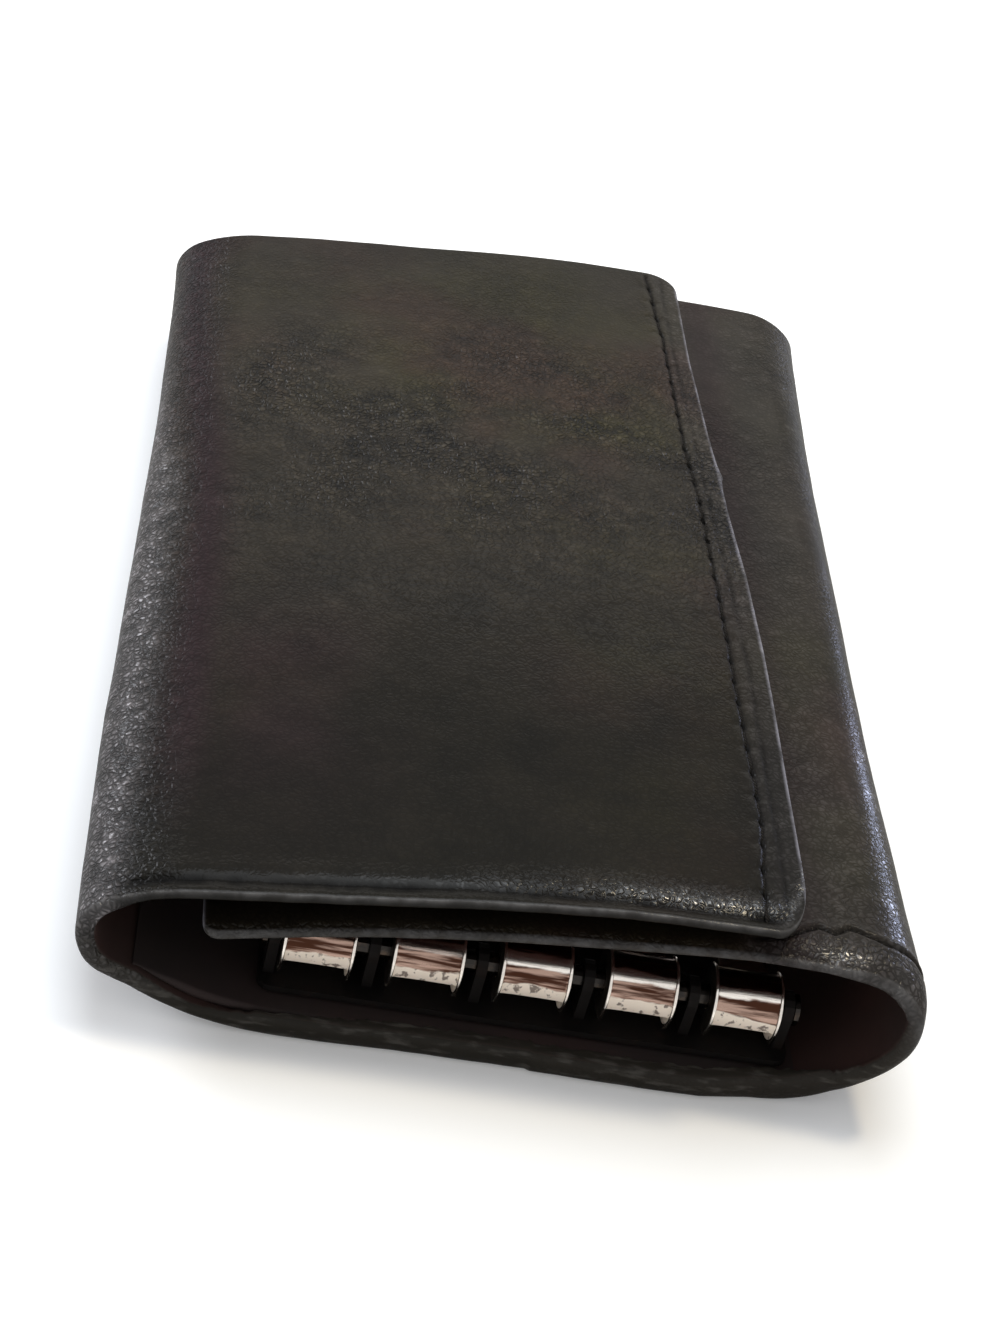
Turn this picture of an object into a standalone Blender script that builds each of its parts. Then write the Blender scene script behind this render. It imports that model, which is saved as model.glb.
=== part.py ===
# Trifold leather key organizer, closed, lying on its back panel with the keys' opening towards -Y.
# Metres, +Z up, +X to the right of the opening. Origin: middle of the case, on the surface it lies on.
# The base lies flat; the outer flap folds over from the left and the inner flap, under it, from the right.
# A nickel rail on the base carries five swivel hooks, and a press stud holds the outer flap to the inner one.

import math

import bmesh
import bpy
from mathutils import Matrix, Vector

# Case
CASE_WIDTH = 0.0704
CASE_LENGTH = 0.112
LAY_GAP = 0.0003  # between leather pieces that lie on each other
SEAT_GAP = 0.00015  # between metal pieces that sit on each other
PIN_GAP = 0.0001  # round a pin in its hole
CUT_OVERRUN = 0.002

# Leather
BASE_LEATHER = 0.0012
BASE_LINING = 0.0008
FOLD_LEATHER = 0.0018
FLAP_LEATHER = 0.0010
FLAP_LINING = 0.0005
LINING_INSET = 0.0006  # lining edge inside the leather's edge
LINING_SETBACK = 0.0012  # lining end short of a fold hinge
FACET_LENGTH = 0.0042
FACET_TURN = 12.0

# Turns of the leather round the case, in degrees from the flat base
TOE_TURN = 30.0
STRIP_TURN = 60.0

# Outer fold, on the left, and outer flap
OUTER_TOE_RADIUS = 0.030
OUTER_LOWER_RADIUS = 0.00515
OUTER_UPPER_RADIUS = 0.0036
OUTER_SHOULDER_RADIUS = 0.019
OUTER_SHOULDER_TURN = 22.0
OUTER_SLOPE_TURN = 2.0
OUTER_SLOPE_SHARE = 0.42  # of the case width
OUTER_CROWN_TURN = 8.5
OUTER_EDGE_INSET_NEAR = 0.0108  # free edge from the right side of the case
OUTER_EDGE_INSET_FAR = 0.0148
OUTER_EDGE_BEND_SHARE = 0.38  # of the case length, where the free edge begins to slant
OUTER_CORNER_NEAR = 0.005
OUTER_CORNER_FAR = 0.003

# Inner fold, on the right, and inner flap
INNER_TOE_RADIUS = 0.0085
INNER_UPPER_RADIUS = 0.0041
INNER_SHOULDER_RADIUS = 0.0075
INNER_CROWN_TURN = 11.3
INNER_END_INSET = 0.0107  # free end from the left side of the case
INNER_CORNER = 0.003
FLAP_GAP = 0.00035  # between the flaps at the outer flap's free edge

# Press stud
SNAP_EDGE_INSET = 0.009  # from the outer flap's free edge
SNAP_CAP_RADIUS = 0.0033
SNAP_CAP_THICKNESS = 0.00035
SNAP_CAP_POST_RADIUS = 0.0010
SNAP_SOCKET_RADIUS = 0.0042
SNAP_SOCKET_THICKNESS = 0.00075
SNAP_SOCKET_WEB = 0.00025
SNAP_KNOB_RADIUS = 0.00185
SNAP_STUD_FLANGE_RADIUS = 0.0030
SNAP_STUD_FLANGE = 0.00023
SNAP_STUD_HEIGHT = 0.00078
SNAP_POST_RADIUS = 0.0007
SNAP_POST_FLANGE_RADIUS = 0.0032
SNAP_POST_FLANGE = 0.0003

# Key rail
HOOK_COUNT = 5
HOOK_PITCH = 0.00915
RAIL_OVERHANG_LEFT = 0.002075  # plate beyond the flat of the base
RAIL_OVERHANG_RIGHT = 0.001153
RAIL_INSET = 0.0055  # rod from the near edge
RAIL_PLATE = 0.0006
RAIL_FRONT = 0.0032  # plate in front of the rod
RAIL_REAR = 0.0062  # plate behind the rod
RAIL_END = 0.0004  # plate beyond the end carriers
RAIL_CORNER = 0.0012
RAIL_ROD_RADIUS = 0.0010
RAIL_ROD_HEAD_RADIUS = 0.0014
RAIL_ROD_HEAD = 0.0004
CARRIER_RADIUS = 0.0016
CARRIER_WIDTH = 0.0009
RIVET_RADIUS = 0.00075
RIVET_HEAD_RADIUS = 0.0015
RIVET_HEAD = 0.0006
RIVET_BACK = 0.0046  # rivets behind the rod
WASHER_RADIUS = 0.0024
WASHER_THICKNESS = 0.00035

# Saddle: the flanged head that turns on the rod
SADDLE_WIDTH = 0.0060
SADDLE_BAND_RADIUS = 0.00275
SADDLE_RIM_RADIUS = 0.0030
SADDLE_RIM = 0.0005
SADDLE_TAIL_WIDTH = 0.0046
SADDLE_TAIL_HEIGHT = 0.0030
SADDLE_NECK = 0.0004  # solid metal between the band and the swivel chamber
SADDLE_CHAMBER = 0.0015
SADDLE_CHAMBER_WIDTH = 0.0034
SADDLE_END_WALL = 0.0008

# Swivel hook
SWIVEL_HEAD_RADIUS = 0.00145
SWIVEL_SHANK_RADIUS = 0.0008
COLLAR_RADIUS = 0.0019
COLLAR_LENGTH = 0.0008
HOOK_LENGTH = 0.021
HOOK_WIDTH = 0.0060
HOOK_THICKNESS = 0.0024
HOOK_WALL = 0.0013
HOOK_ROOT = 0.0056  # solid root before the loop
HOOK_SHOULDER = 0.0022
HOOK_BEVEL = 0.00025
GATE_MOUTH = 0.0055  # from the hook's tip to the end of its nose
GATE_TIP_GAP = 0.0003
GATE_EYE_RADIUS = 0.0011
GATE_EYE_THICKNESS = 0.0009
GATE_BLADE_THICKNESS = 0.0020
GATE_BLADE_WIDTH = 0.00125
GATE_SLOT = 0.0012
GATE_PIVOT = 0.0042  # pin from the hook's root end
GATE_PIN_RADIUS = 0.0005

ROUND_SEGMENTS = 24
SMALL_SEGMENTS = 16
SMOOTH_ANGLE = math.radians(35)

NEAR = -CASE_LENGTH / 2
FAR = CASE_LENGTH / 2
LEFT = -CASE_WIDTH / 2
RIGHT = CASE_WIDTH / 2
BASE_TOP = BASE_LEATHER + LAY_GAP + BASE_LINING
FLAP_THICKNESS = FLAP_LEATHER + LAY_GAP + FLAP_LINING
OUTER_SIDE = -1
INNER_SIDE = 1


def material(name, colour, roughness, metallic=0.0):
    made = bpy.data.materials.new(name)
    made.use_nodes = True
    shader = made.node_tree.nodes["Principled BSDF"]
    shader.inputs["Base Color"].default_value = (*colour, 1.0)
    shader.inputs["Roughness"].default_value = roughness
    shader.inputs["Metallic"].default_value = metallic
    return made


def leather(name):
    return material(name, (0.045, 0.040, 0.034), 0.42)


def lining(name):
    return material(name, (0.035, 0.018, 0.015), 0.75)


def nickel(name):
    return material(name, (0.78, 0.74, 0.69), 0.22, 1.0)


def dark_steel(name):
    return material(name, (0.42, 0.41, 0.40), 0.35, 1.0)


def add_object(name, mesh_data, finish=None):
    made = bpy.data.objects.new(name, mesh_data)
    bpy.context.scene.collection.objects.link(made)
    if finish:
        mesh_data.materials.append(finish)
    return made


def mesh_from(name, shape):
    bmesh.ops.recalc_face_normals(shape, faces=shape.faces)
    made = bpy.data.meshes.new(name)
    shape.to_mesh(made)
    shape.free()
    return made


# Solids

AXIS_FRAMES = {
    "X": Matrix(((0, 0, 1), (1, 0, 0), (0, 1, 0))),
    "Y": Matrix(((1, 0, 0), (0, 0, 1), (0, 1, 0))),
    "Z": Matrix(((1, 0, 0), (0, 1, 0), (0, 0, 1))),
}


def prism(name, outline, axis, low, high, finish=None):
    """An outline of (x, z) points along Y, (x, y) along Z or (y, z) along X, from low to high."""
    shape = bmesh.new()
    corners = [shape.verts.new(AXIS_FRAMES[axis] @ Vector((*point, low))) for point in outline]
    face = shape.faces.new(corners)
    raised = bmesh.ops.extrude_face_region(shape, geom=[face])["geom"]
    lift = AXIS_FRAMES[axis] @ Vector((0, 0, high - low))
    bmesh.ops.translate(shape, vec=lift, verts=[v for v in raised if isinstance(v, bmesh.types.BMVert)])
    return add_object(name, mesh_from(name, shape), finish)


def turned(name, profile, axis, centre, segments, finish=None):
    """A profile of (radius, place along the axis) points turned round an axis through centre."""
    shape = bmesh.new()
    points = [shape.verts.new((radius, 0, place)) for radius, place in profile]
    edges = [shape.edges.new(pair) for pair in zip(points, points[1:])]
    if profile[0][0] and profile[-1][0]:
        edges.append(shape.edges.new((points[-1], points[0])))
    bmesh.ops.spin(
        shape, geom=points + edges, cent=(0, 0, 0), axis=(0, 0, 1), angle=math.tau, steps=segments, use_merge=True
    )
    bmesh.ops.remove_doubles(shape, verts=shape.verts, dist=PIN_GAP / 100)
    frame = AXIS_FRAMES[axis] if isinstance(axis, str) else axis
    bmesh.ops.transform(shape, matrix=Matrix.Translation(centre) @ frame.to_4x4(), verts=shape.verts)
    made = add_object(name, mesh_from(name, shape), finish)
    smooth(made)
    return made


def smooth(made):
    made.data.shade_smooth()
    made.data.set_sharp_from_angle(angle=SMOOTH_ANGLE)


def box_outline(low, high):
    return [(low[0], low[1]), (high[0], low[1]), (high[0], high[1]), (low[0], high[1])]


def rod_profile(radius, low, high):
    return [(0, low), (radius, low), (radius, high), (0, high)]


def rounded(points, radii, steps=5):
    """An outline whose corners are rounded, each with its own radius."""
    outline = []
    for index, (corner, radius) in enumerate(zip(points, radii)):
        corner = Vector(corner)
        if not radius:
            outline.append(tuple(corner))
            continue
        before = (Vector(points[index - 1]) - corner).normalized()
        after = (Vector(points[(index + 1) % len(points)]) - corner).normalized()
        half = before.angle(after) / 2
        middle = corner + (before + after).normalized() * radius / math.sin(half)
        start = corner + before * radius / math.tan(half) - middle
        end = corner + after * radius / math.tan(half) - middle
        swing = start.angle_signed(end)
        for step in range(steps + 1):
            turn = -swing * step / steps
            outline.append(tuple(middle + Matrix.Rotation(turn, 2) @ start))
    return outline


def combine(made, operation, *cutters):
    """A Boolean of one object with others, which are then taken away."""
    for cutter in cutters:
        step = made.modifiers.new(operation.lower(), "BOOLEAN")
        step.operation = operation
        step.solver = "EXACT"
        step.object = cutter
        cutter.hide_render = True
        cutter.display_type = "WIRE"
    bpy.context.view_layer.update()
    graph = bpy.context.evaluated_depsgraph_get()
    finished = bpy.data.meshes.new_from_object(made.evaluated_get(graph))
    plain = made.data
    made.modifiers.clear()
    made.data = finished
    finished.name = plain.name
    bpy.data.meshes.remove(plain)
    for cutter in cutters:
        bpy.data.objects.remove(cutter)
    return made


def set_origin(made, point):
    made.data.transform(Matrix.Translation(-Vector(point)))
    made.location = point


def hang(child, parent):
    """Parents a piece and keeps its place; no piece is turned at rest."""
    child.parent = parent
    above = parent
    while above:
        child.location = child.location - above.location
        above = above.parent


# Leather section: stations are (x, z, inward x, inward z) on the outer face, from the base up and over


def arc(start, side, turn, radius, sweep, trim_start=0.0, trim_end=0.0):
    """Stations of one round stretch, and the untrimmed point and turn where it ends. Angles in degrees."""
    x, z = start
    first = math.radians(turn)
    last = math.radians(turn + sweep)
    centre_x = x - side * math.sin(first) * radius
    centre_z = z + math.cos(first) * radius

    def on_arc(angle):
        return centre_x + side * math.sin(angle) * radius, centre_z - math.cos(angle) * radius

    low = first + trim_start / radius
    high = last - trim_end / radius
    count = max(math.ceil(sweep / FACET_TURN), math.ceil((high - low) * radius / FACET_LENGTH))
    stations = []
    for step in range(count + 1):
        angle = low + (high - low) * step / count
        stations.append((*on_arc(angle), -side * math.sin(angle), math.cos(angle)))
    return stations, on_arc(last), turn + sweep


def joined(*runs):
    """Runs of stations end to end, without the repeated points."""
    whole = list(runs[0])
    for run in runs[1:]:
        whole += run[1:]
    return whole


def reach_radius(span, turn, sweep):
    """The radius of a stretch that covers a width while it turns."""
    return abs(span / (math.sin(math.radians(turn + sweep)) - math.sin(math.radians(turn))))


def fold(side, start, toe_radius, lower_radius, upper_radius):
    """The toe and the two fold strips of one side, each as (radius, start, turn)."""
    runs = []
    place = start
    turn = 0.0
    for radius, sweep in ((toe_radius, TOE_TURN), (lower_radius, STRIP_TURN), (upper_radius, STRIP_TURN)):
        runs.append({"radius": radius, "start": place, "turn": turn, "sweep": sweep})
        place, turn = arc(place, side, turn, radius, sweep)[1:]
    return runs, place, turn


def strip_stations(side, run, trim_start, trim_end):
    return arc(run["start"], side, run["turn"], run["radius"], run["sweep"], trim_start, trim_end)[0]


def toe_reach(toe_radius, lower_radius):
    """How far the fold stands out sideways beyond the flat base."""
    lean = math.sin(math.radians(TOE_TURN))
    return toe_radius * lean + lower_radius * (1 - lean)


def outer_side():
    runs, place, turn = fold(
        OUTER_SIDE,
        (LEFT + toe_reach(OUTER_TOE_RADIUS, OUTER_LOWER_RADIUS), 0.0),
        OUTER_TOE_RADIUS,
        OUTER_LOWER_RADIUS,
        OUTER_UPPER_RADIUS,
    )
    hinge = place
    shoulder, place, turn = arc(
        place, OUTER_SIDE, turn, OUTER_SHOULDER_RADIUS, OUTER_SHOULDER_TURN, trim_start=LAY_GAP / 2
    )
    slope_radius = reach_radius(OUTER_SLOPE_SHARE * CASE_WIDTH, turn, OUTER_SLOPE_TURN)
    slope, place, turn = arc(place, OUTER_SIDE, turn, slope_radius, OUTER_SLOPE_TURN)
    edge = RIGHT - OUTER_EDGE_INSET_NEAR
    crown_radius = reach_radius(edge - place[0], turn, OUTER_CROWN_TURN)
    crown, place, turn = arc(place, OUTER_SIDE, turn, crown_radius, OUTER_CROWN_TURN)
    return {"runs": runs, "hinge": hinge, "flap": joined(shoulder, slope, crown), "edge": place}


def inner_side(top_height):
    """The inner fold rises so far that its flap ends up just under the outer flap's free edge."""
    lean = math.cos(math.radians(TOE_TURN))
    round_part = (INNER_TOE_RADIUS + INNER_SHOULDER_RADIUS) * (1 - lean)
    lower_radius = (top_height - round_part) / lean - INNER_UPPER_RADIUS
    runs, place, turn = fold(
        INNER_SIDE,
        (RIGHT - toe_reach(INNER_TOE_RADIUS, lower_radius), 0.0),
        INNER_TOE_RADIUS,
        lower_radius,
        INNER_UPPER_RADIUS,
    )
    hinge = place
    shoulder, place, turn = arc(
        place, INNER_SIDE, turn, INNER_SHOULDER_RADIUS, TOE_TURN, trim_start=LAY_GAP / 2
    )
    free_end = LEFT + INNER_END_INSET
    crown_radius = reach_radius(place[0] - free_end, turn, INNER_CROWN_TURN)
    crown, place, turn = arc(place, INNER_SIDE, turn, crown_radius, INNER_CROWN_TURN)
    return {"runs": runs, "hinge": hinge, "flap": joined(shoulder, crown), "edge": place}


def layer(name, stations, outer, inner, near, far, finish):
    """A sheet of leather between two depths under the outer face, as long as the case or a little less."""
    outline = [(x + ix * outer, z + iz * outer) for x, z, ix, iz in stations]
    outline += [(x + ix * inner, z + iz * inner) for x, z, ix, iz in reversed(stations)]
    return prism(name, outline, "Y", near, far, finish)


def at_x(stations, x):
    """The outer face's height and inward direction where a flap passes x."""
    for one, other in zip(stations, stations[1:]):
        low, high = sorted((one[0], other[0]))
        if low <= x <= high:
            share = (x - one[0]) / (other[0] - one[0])
            z = one[1] + share * (other[1] - one[1])
            along = Vector((other[0] - one[0], other[1] - one[1])).normalized()
            inward = Vector((along[1], -along[0]))
            if inward[1] > 0:
                inward = -inward
            return z, inward
    raise ValueError("x is off the flap")


def trimmed_start(stations, length):
    """Stations cut back by a length from the start of the list."""
    kept = list(stations)
    while len(kept) > 2:
        span = (Vector(kept[1][:2]) - Vector(kept[0][:2])).length
        if span > length:
            break
        length -= span
        kept.pop(0)
    share = length / (Vector(kept[1][:2]) - Vector(kept[0][:2])).length
    kept[0] = tuple(one + share * (other - one) for one, other in zip(kept[0], kept[1]))
    return kept


# Case pieces


def make_base(outer, inner):
    left = strip_stations(OUTER_SIDE, outer["runs"][0], 0.0, LAY_GAP / 2)
    right = strip_stations(INNER_SIDE, inner["runs"][0], 0.0, LAY_GAP / 2)
    whole = joined(list(reversed(left)), right) if left[0][0] == right[0][0] else list(reversed(left)) + right
    panel = layer("center_panel", whole, 0.0, BASE_LEATHER, NEAR, FAR, leather("base_leather"))
    left = strip_stations(OUTER_SIDE, outer["runs"][0], 0.0, LINING_SETBACK)
    right = strip_stations(INNER_SIDE, inner["runs"][0], 0.0, LINING_SETBACK)
    inside = layer(
        "center_lining",
        list(reversed(left)) + right,
        BASE_LEATHER + LAY_GAP,
        BASE_TOP,
        NEAR + LINING_INSET,
        FAR - LINING_INSET,
        lining("base_lining"),
    )
    return panel, inside


def make_fold(side, name, runs):
    strips = []
    for run, part in zip(runs[1:], ("lower", "upper")):
        stations = strip_stations(side, run, LAY_GAP / 2, LAY_GAP / 2)
        strip = layer(f"{name}_fold_{part}", stations, 0.0, FOLD_LEATHER, NEAR, FAR, leather(f"{name}_{part}_leather"))
        x, z = run["start"]
        set_origin(strip, (x, 0.0, z))
        strips.append(strip)
    return strips


def flap_shape(name, points, radii):
    """The plan of a flap as a tall cutter."""
    return prism(name, rounded(points, radii), "Z", -CUT_OVERRUN, CASE_WIDTH)


def outer_outline(inset):
    near_edge = RIGHT - OUTER_EDGE_INSET_NEAR - inset
    far_edge = RIGHT - OUTER_EDGE_INSET_FAR - inset
    points = [
        (LEFT - CUT_OVERRUN, NEAR + inset),
        (near_edge, NEAR + inset),
        (near_edge, NEAR + OUTER_EDGE_BEND_SHARE * CASE_LENGTH),
        (far_edge, FAR - inset),
        (LEFT - CUT_OVERRUN, FAR - inset),
    ]
    return points, [0, OUTER_CORNER_NEAR - inset, CASE_LENGTH / 4, OUTER_CORNER_FAR - inset, 0]


def inner_outline(inset):
    free_end = LEFT + INNER_END_INSET + inset
    points = box_outline((free_end, NEAR + inset), (RIGHT + CUT_OVERRUN, FAR - inset))
    corner = INNER_CORNER - inset
    return points, [corner, 0, 0, corner]


def make_flap(name, side, outline, finish_name):
    """A flap's leather and its lining, cut to the flap's plan."""
    last = side["flap"][-1]
    along = Vector((last[3], -last[2])) * (OUTER_SIDE if side is OUTER else INNER_SIDE)
    longer = side["flap"] + [(last[0] + along[0] * CUT_OVERRUN, last[1] + along[1] * CUT_OVERRUN, *last[2:])]
    face = layer(name, longer, 0.0, FLAP_LEATHER, NEAR - CUT_OVERRUN, FAR + CUT_OVERRUN, leather(finish_name))
    combine(face, "INTERSECT", flap_shape(f"{name}_plan", *outline(0.0)))
    back = layer(
        f"{name}_lining",
        trimmed_start(longer, LINING_SETBACK),
        FLAP_LEATHER + LAY_GAP,
        FLAP_THICKNESS,
        NEAR - CUT_OVERRUN,
        FAR + CUT_OVERRUN,
        lining(f"{finish_name}_lining"),
    )
    combine(back, "INTERSECT", flap_shape(f"{name}_lining_plan", *outline(LINING_INSET)))
    return face, back


# Press stud, on the middle of the case's length


def normal_frame(inward):
    """Turns the Z axis of a turned piece to a flap's outward direction."""
    outward = Vector((-inward[0], 0, -inward[1]))
    across = Vector((0, 1, 0)).cross(outward)
    return Matrix((across, Vector((0, 1, 0)), outward)).transposed()


def make_snap(outer_face, outer_back, inner_face, inner_back):
    x = RIGHT - (OUTER_EDGE_INSET_NEAR + OUTER_EDGE_INSET_FAR) / 2 - SNAP_EDGE_INSET
    height, inward = at_x(OUTER["flap"], x)
    frame = normal_frame(inward)
    top = Vector((x, 0, height))
    pocket = SNAP_CAP_THICKNESS + SEAT_GAP * 3 / 2
    cap_low = -FLAP_LEATHER + SEAT_GAP / 2
    socket_high = -FLAP_LEATHER - LAY_GAP
    socket_low = socket_high - SNAP_SOCKET_THICKNESS
    web_low = socket_high - SNAP_SOCKET_WEB
    cap = turned(
        "snap_cap",
        [
            (0, web_low),
            (SNAP_CAP_POST_RADIUS, web_low),
            (SNAP_CAP_POST_RADIUS, cap_low),
            (SNAP_CAP_RADIUS, cap_low),
            (SNAP_CAP_RADIUS, cap_low + SNAP_CAP_THICKNESS),
            (0, cap_low + SNAP_CAP_THICKNESS),
        ],
        frame,
        top,
        ROUND_SEGMENTS,
        dark_steel("snap_cap_steel"),
    )
    socket = turned(
        "snap_socket",
        [
            (SNAP_KNOB_RADIUS + LAY_GAP, socket_low),
            (SNAP_SOCKET_RADIUS, socket_low),
            (SNAP_SOCKET_RADIUS, socket_high),
            (SNAP_CAP_POST_RADIUS + SEAT_GAP, socket_high),
            (SNAP_CAP_POST_RADIUS + SEAT_GAP, web_low),
            (SNAP_KNOB_RADIUS + LAY_GAP, web_low),
        ],
        frame,
        top,
        ROUND_SEGMENTS,
        nickel("snap_socket_nickel"),
    )
    pocket_low = -FLAP_LEATHER - CUT_OVERRUN
    pocket_profile = rod_profile(SNAP_CAP_RADIUS + LAY_GAP, pocket_low, -FLAP_LEATHER + pocket)
    combine(outer_face, "DIFFERENCE", turned("cap_pocket", pocket_profile, frame, top, ROUND_SEGMENTS))
    hole_profile = rod_profile(SNAP_SOCKET_RADIUS + LAY_GAP, -FLAP_THICKNESS - CUT_OVERRUN, -FLAP_LEATHER)
    combine(outer_back, "DIFFERENCE", turned("socket_hole", hole_profile, frame, top, ROUND_SEGMENTS))

    height, inward = at_x(INNER["flap"], x)
    frame = normal_frame(inward)
    top = Vector((x, 0, height))
    stud_high = SEAT_GAP + SNAP_STUD_HEIGHT
    bore = SNAP_POST_RADIUS + SEAT_GAP
    crown = stud_high - SNAP_STUD_FLANGE
    stud = turned(
        "snap_stud",
        [
            (bore, SEAT_GAP),
            (SNAP_STUD_FLANGE_RADIUS, SEAT_GAP),
            (SNAP_STUD_FLANGE_RADIUS, SEAT_GAP + SNAP_STUD_FLANGE),
            (SNAP_KNOB_RADIUS, SEAT_GAP + SNAP_STUD_FLANGE),
            (SNAP_KNOB_RADIUS, crown),
            (SNAP_KNOB_RADIUS - SNAP_STUD_FLANGE, stud_high),
            (bore, stud_high),
        ],
        frame,
        top,
        ROUND_SEGMENTS,
        nickel("snap_stud_nickel"),
    )
    flange_high = -FLAP_LEATHER - LAY_GAP - SEAT_GAP / 2
    flange_low = flange_high - SNAP_POST_FLANGE
    post = turned(
        "snap_post",
        [
            (0, flange_low),
            (SNAP_POST_FLANGE_RADIUS, flange_low),
            (SNAP_POST_FLANGE_RADIUS, flange_high),
            (SNAP_POST_RADIUS, flange_high),
            (SNAP_POST_RADIUS, crown),
            (0, crown),
        ],
        frame,
        top,
        ROUND_SEGMENTS,
        dark_steel("snap_post_steel"),
    )
    shaft_profile = rod_profile(SNAP_POST_RADIUS + LAY_GAP, -FLAP_THICKNESS, CUT_OVERRUN)
    combine(inner_face, "DIFFERENCE", turned("post_hole", shaft_profile, frame, top, SMALL_SEGMENTS))
    seat_profile = rod_profile(SNAP_POST_FLANGE_RADIUS + LAY_GAP, -FLAP_THICKNESS - CUT_OVERRUN, -FLAP_LEATHER)
    combine(inner_back, "DIFFERENCE", turned("flange_hole", seat_profile, frame, top, ROUND_SEGMENTS))
    return cap, socket, stud, post


# Key rail

ROD_Y = NEAR + RAIL_INSET
PLATE_LOW = BASE_TOP + LAY_GAP
PLATE_TOP = PLATE_LOW + RAIL_PLATE
ROD_Z = PLATE_TOP + LAY_GAP + SADDLE_RIM_RADIUS


def rail_room():
    """Where the rail's plate starts and ends: on the flat of the base, with a little overhang on both sides."""
    left = LEFT + toe_reach(OUTER_TOE_RADIUS, OUTER_LOWER_RADIUS) - RAIL_OVERHANG_LEFT
    return left, INNER["runs"][0]["start"][0] + RAIL_OVERHANG_RIGHT


def rail_fit():
    """How much wider or narrower the hooks and their spacing are, so that the rail fills its room."""
    left, right = rail_room()
    ends = LAY_GAP + CARRIER_WIDTH + RAIL_END
    return (right - left) / (HOOK_PITCH * (HOOK_COUNT - 1) + SADDLE_WIDTH + 2 * ends)


def hook_places():
    pitch = HOOK_PITCH * rail_fit()
    first = sum(rail_room()) / 2 - pitch * (HOOK_COUNT - 1) / 2
    return [first + pitch * index for index in range(HOOK_COUNT)]


def carrier_places():
    places = hook_places()
    beyond = (SADDLE_WIDTH / 2 + LAY_GAP + CARRIER_WIDTH / 2) * rail_fit()
    between = [(one + other) / 2 for one, other in zip(places, places[1:])]
    return [places[0] - beyond, *between, places[-1] + beyond]


def rivet_places():
    between = carrier_places()[1:-1]
    return [(between[0], ROD_Y + RIVET_BACK), (between[-1], ROD_Y + RIVET_BACK)]


def make_rail(panel, inside):
    carriers = carrier_places()
    half = CARRIER_WIDTH / 2 * rail_fit()
    left = carriers[0] - half
    right = carriers[-1] + half
    plate_start, plate_end = rail_room()
    plate_low = (plate_start, ROD_Y - RAIL_FRONT)
    plate_high = (plate_end, ROD_Y + RAIL_REAR)
    outline = rounded(box_outline(plate_low, plate_high), [RAIL_CORNER] * 4, 3)
    plate = prism("rail_plate", outline, "Z", PLATE_LOW, PLATE_TOP, dark_steel("rail_steel"))
    low = PLATE_LOW + RAIL_PLATE / 2
    arch = [(ROD_Y - CARRIER_RADIUS, low)]
    for step in range(SMALL_SEGMENTS // 2 + 1):
        angle = math.pi - math.pi * step / (SMALL_SEGMENTS // 2)
        arch.append((ROD_Y + CARRIER_RADIUS * math.cos(angle), ROD_Z + CARRIER_RADIUS * math.sin(angle)))
    arch.append((ROD_Y + CARRIER_RADIUS, low))
    posts = []
    for place in carriers:
        posts.append(prism("carrier", arch, "X", place - half, place + half))
    combine(plate, "UNION", *posts)
    bore = rod_profile(RAIL_ROD_RADIUS + SEAT_GAP, left - CUT_OVERRUN, right + CUT_OVERRUN)
    combine(plate, "DIFFERENCE", turned("rail_bore", bore, "X", (0, ROD_Y, ROD_Z), SMALL_SEGMENTS))

    end = right + SEAT_GAP
    start = left - SEAT_GAP
    rod = turned(
        "rail_rod",
        [
            (0, start - RAIL_ROD_HEAD),
            (RAIL_ROD_HEAD_RADIUS, start - RAIL_ROD_HEAD),
            (RAIL_ROD_HEAD_RADIUS, start),
            (RAIL_ROD_RADIUS, start),
            (RAIL_ROD_RADIUS, end),
            (RAIL_ROD_HEAD_RADIUS, end),
            (RAIL_ROD_HEAD_RADIUS, end + RAIL_ROD_HEAD),
            (0, end + RAIL_ROD_HEAD),
        ],
        "X",
        (0, ROD_Y, ROD_Z),
        SMALL_SEGMENTS,
        nickel("rail_rod_nickel"),
    )

    pocket_floor = BASE_LEATHER - WASHER_THICKNESS - SEAT_GAP
    shank_low = pocket_floor + SEAT_GAP
    head_low = PLATE_TOP + SEAT_GAP
    rivets = []
    washers = []
    for index, (x, y) in enumerate(rivet_places(), 1):
        centre = (x, y, 0)
        rivet_profile = [
            (0, shank_low),
            (RIVET_RADIUS, shank_low),
            (RIVET_RADIUS, head_low),
            (RIVET_HEAD_RADIUS, head_low),
            (RIVET_HEAD_RADIUS * 0.9, head_low + RIVET_HEAD / 2),
            (RIVET_HEAD_RADIUS / 2, head_low + RIVET_HEAD),
            (0, head_low + RIVET_HEAD),
        ]
        rivet_name = f"rail_rivet_{index}"
        rivets.append(turned(rivet_name, rivet_profile, "Z", centre, SMALL_SEGMENTS, nickel(f"{rivet_name}_nickel")))
        washer_profile = [
            (RIVET_RADIUS + SEAT_GAP, shank_low),
            (WASHER_RADIUS, shank_low),
            (WASHER_RADIUS, shank_low + WASHER_THICKNESS),
            (RIVET_RADIUS + SEAT_GAP, shank_low + WASHER_THICKNESS),
        ]
        washer_name = f"rail_washer_{index}"
        washers.append(
            turned(washer_name, washer_profile, "Z", centre, SMALL_SEGMENTS, dark_steel(f"{washer_name}_steel"))
        )
        shaft = rod_profile(RIVET_RADIUS + SEAT_GAP, BASE_LEATHER, head_low)
        for piece in (plate, inside):
            combine(piece, "DIFFERENCE", turned("rivet_hole", shaft, "Z", centre, SMALL_SEGMENTS))
        pocket = rod_profile(WASHER_RADIUS + SEAT_GAP, pocket_floor, BASE_TOP)
        combine(panel, "DIFFERENCE", turned("washer_pocket", pocket, "Z", centre, SMALL_SEGMENTS))
    return plate, rod, rivets, washers


# One saddle, hook, gate and pin, made round the origin of the rod and shared by the five places

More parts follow.
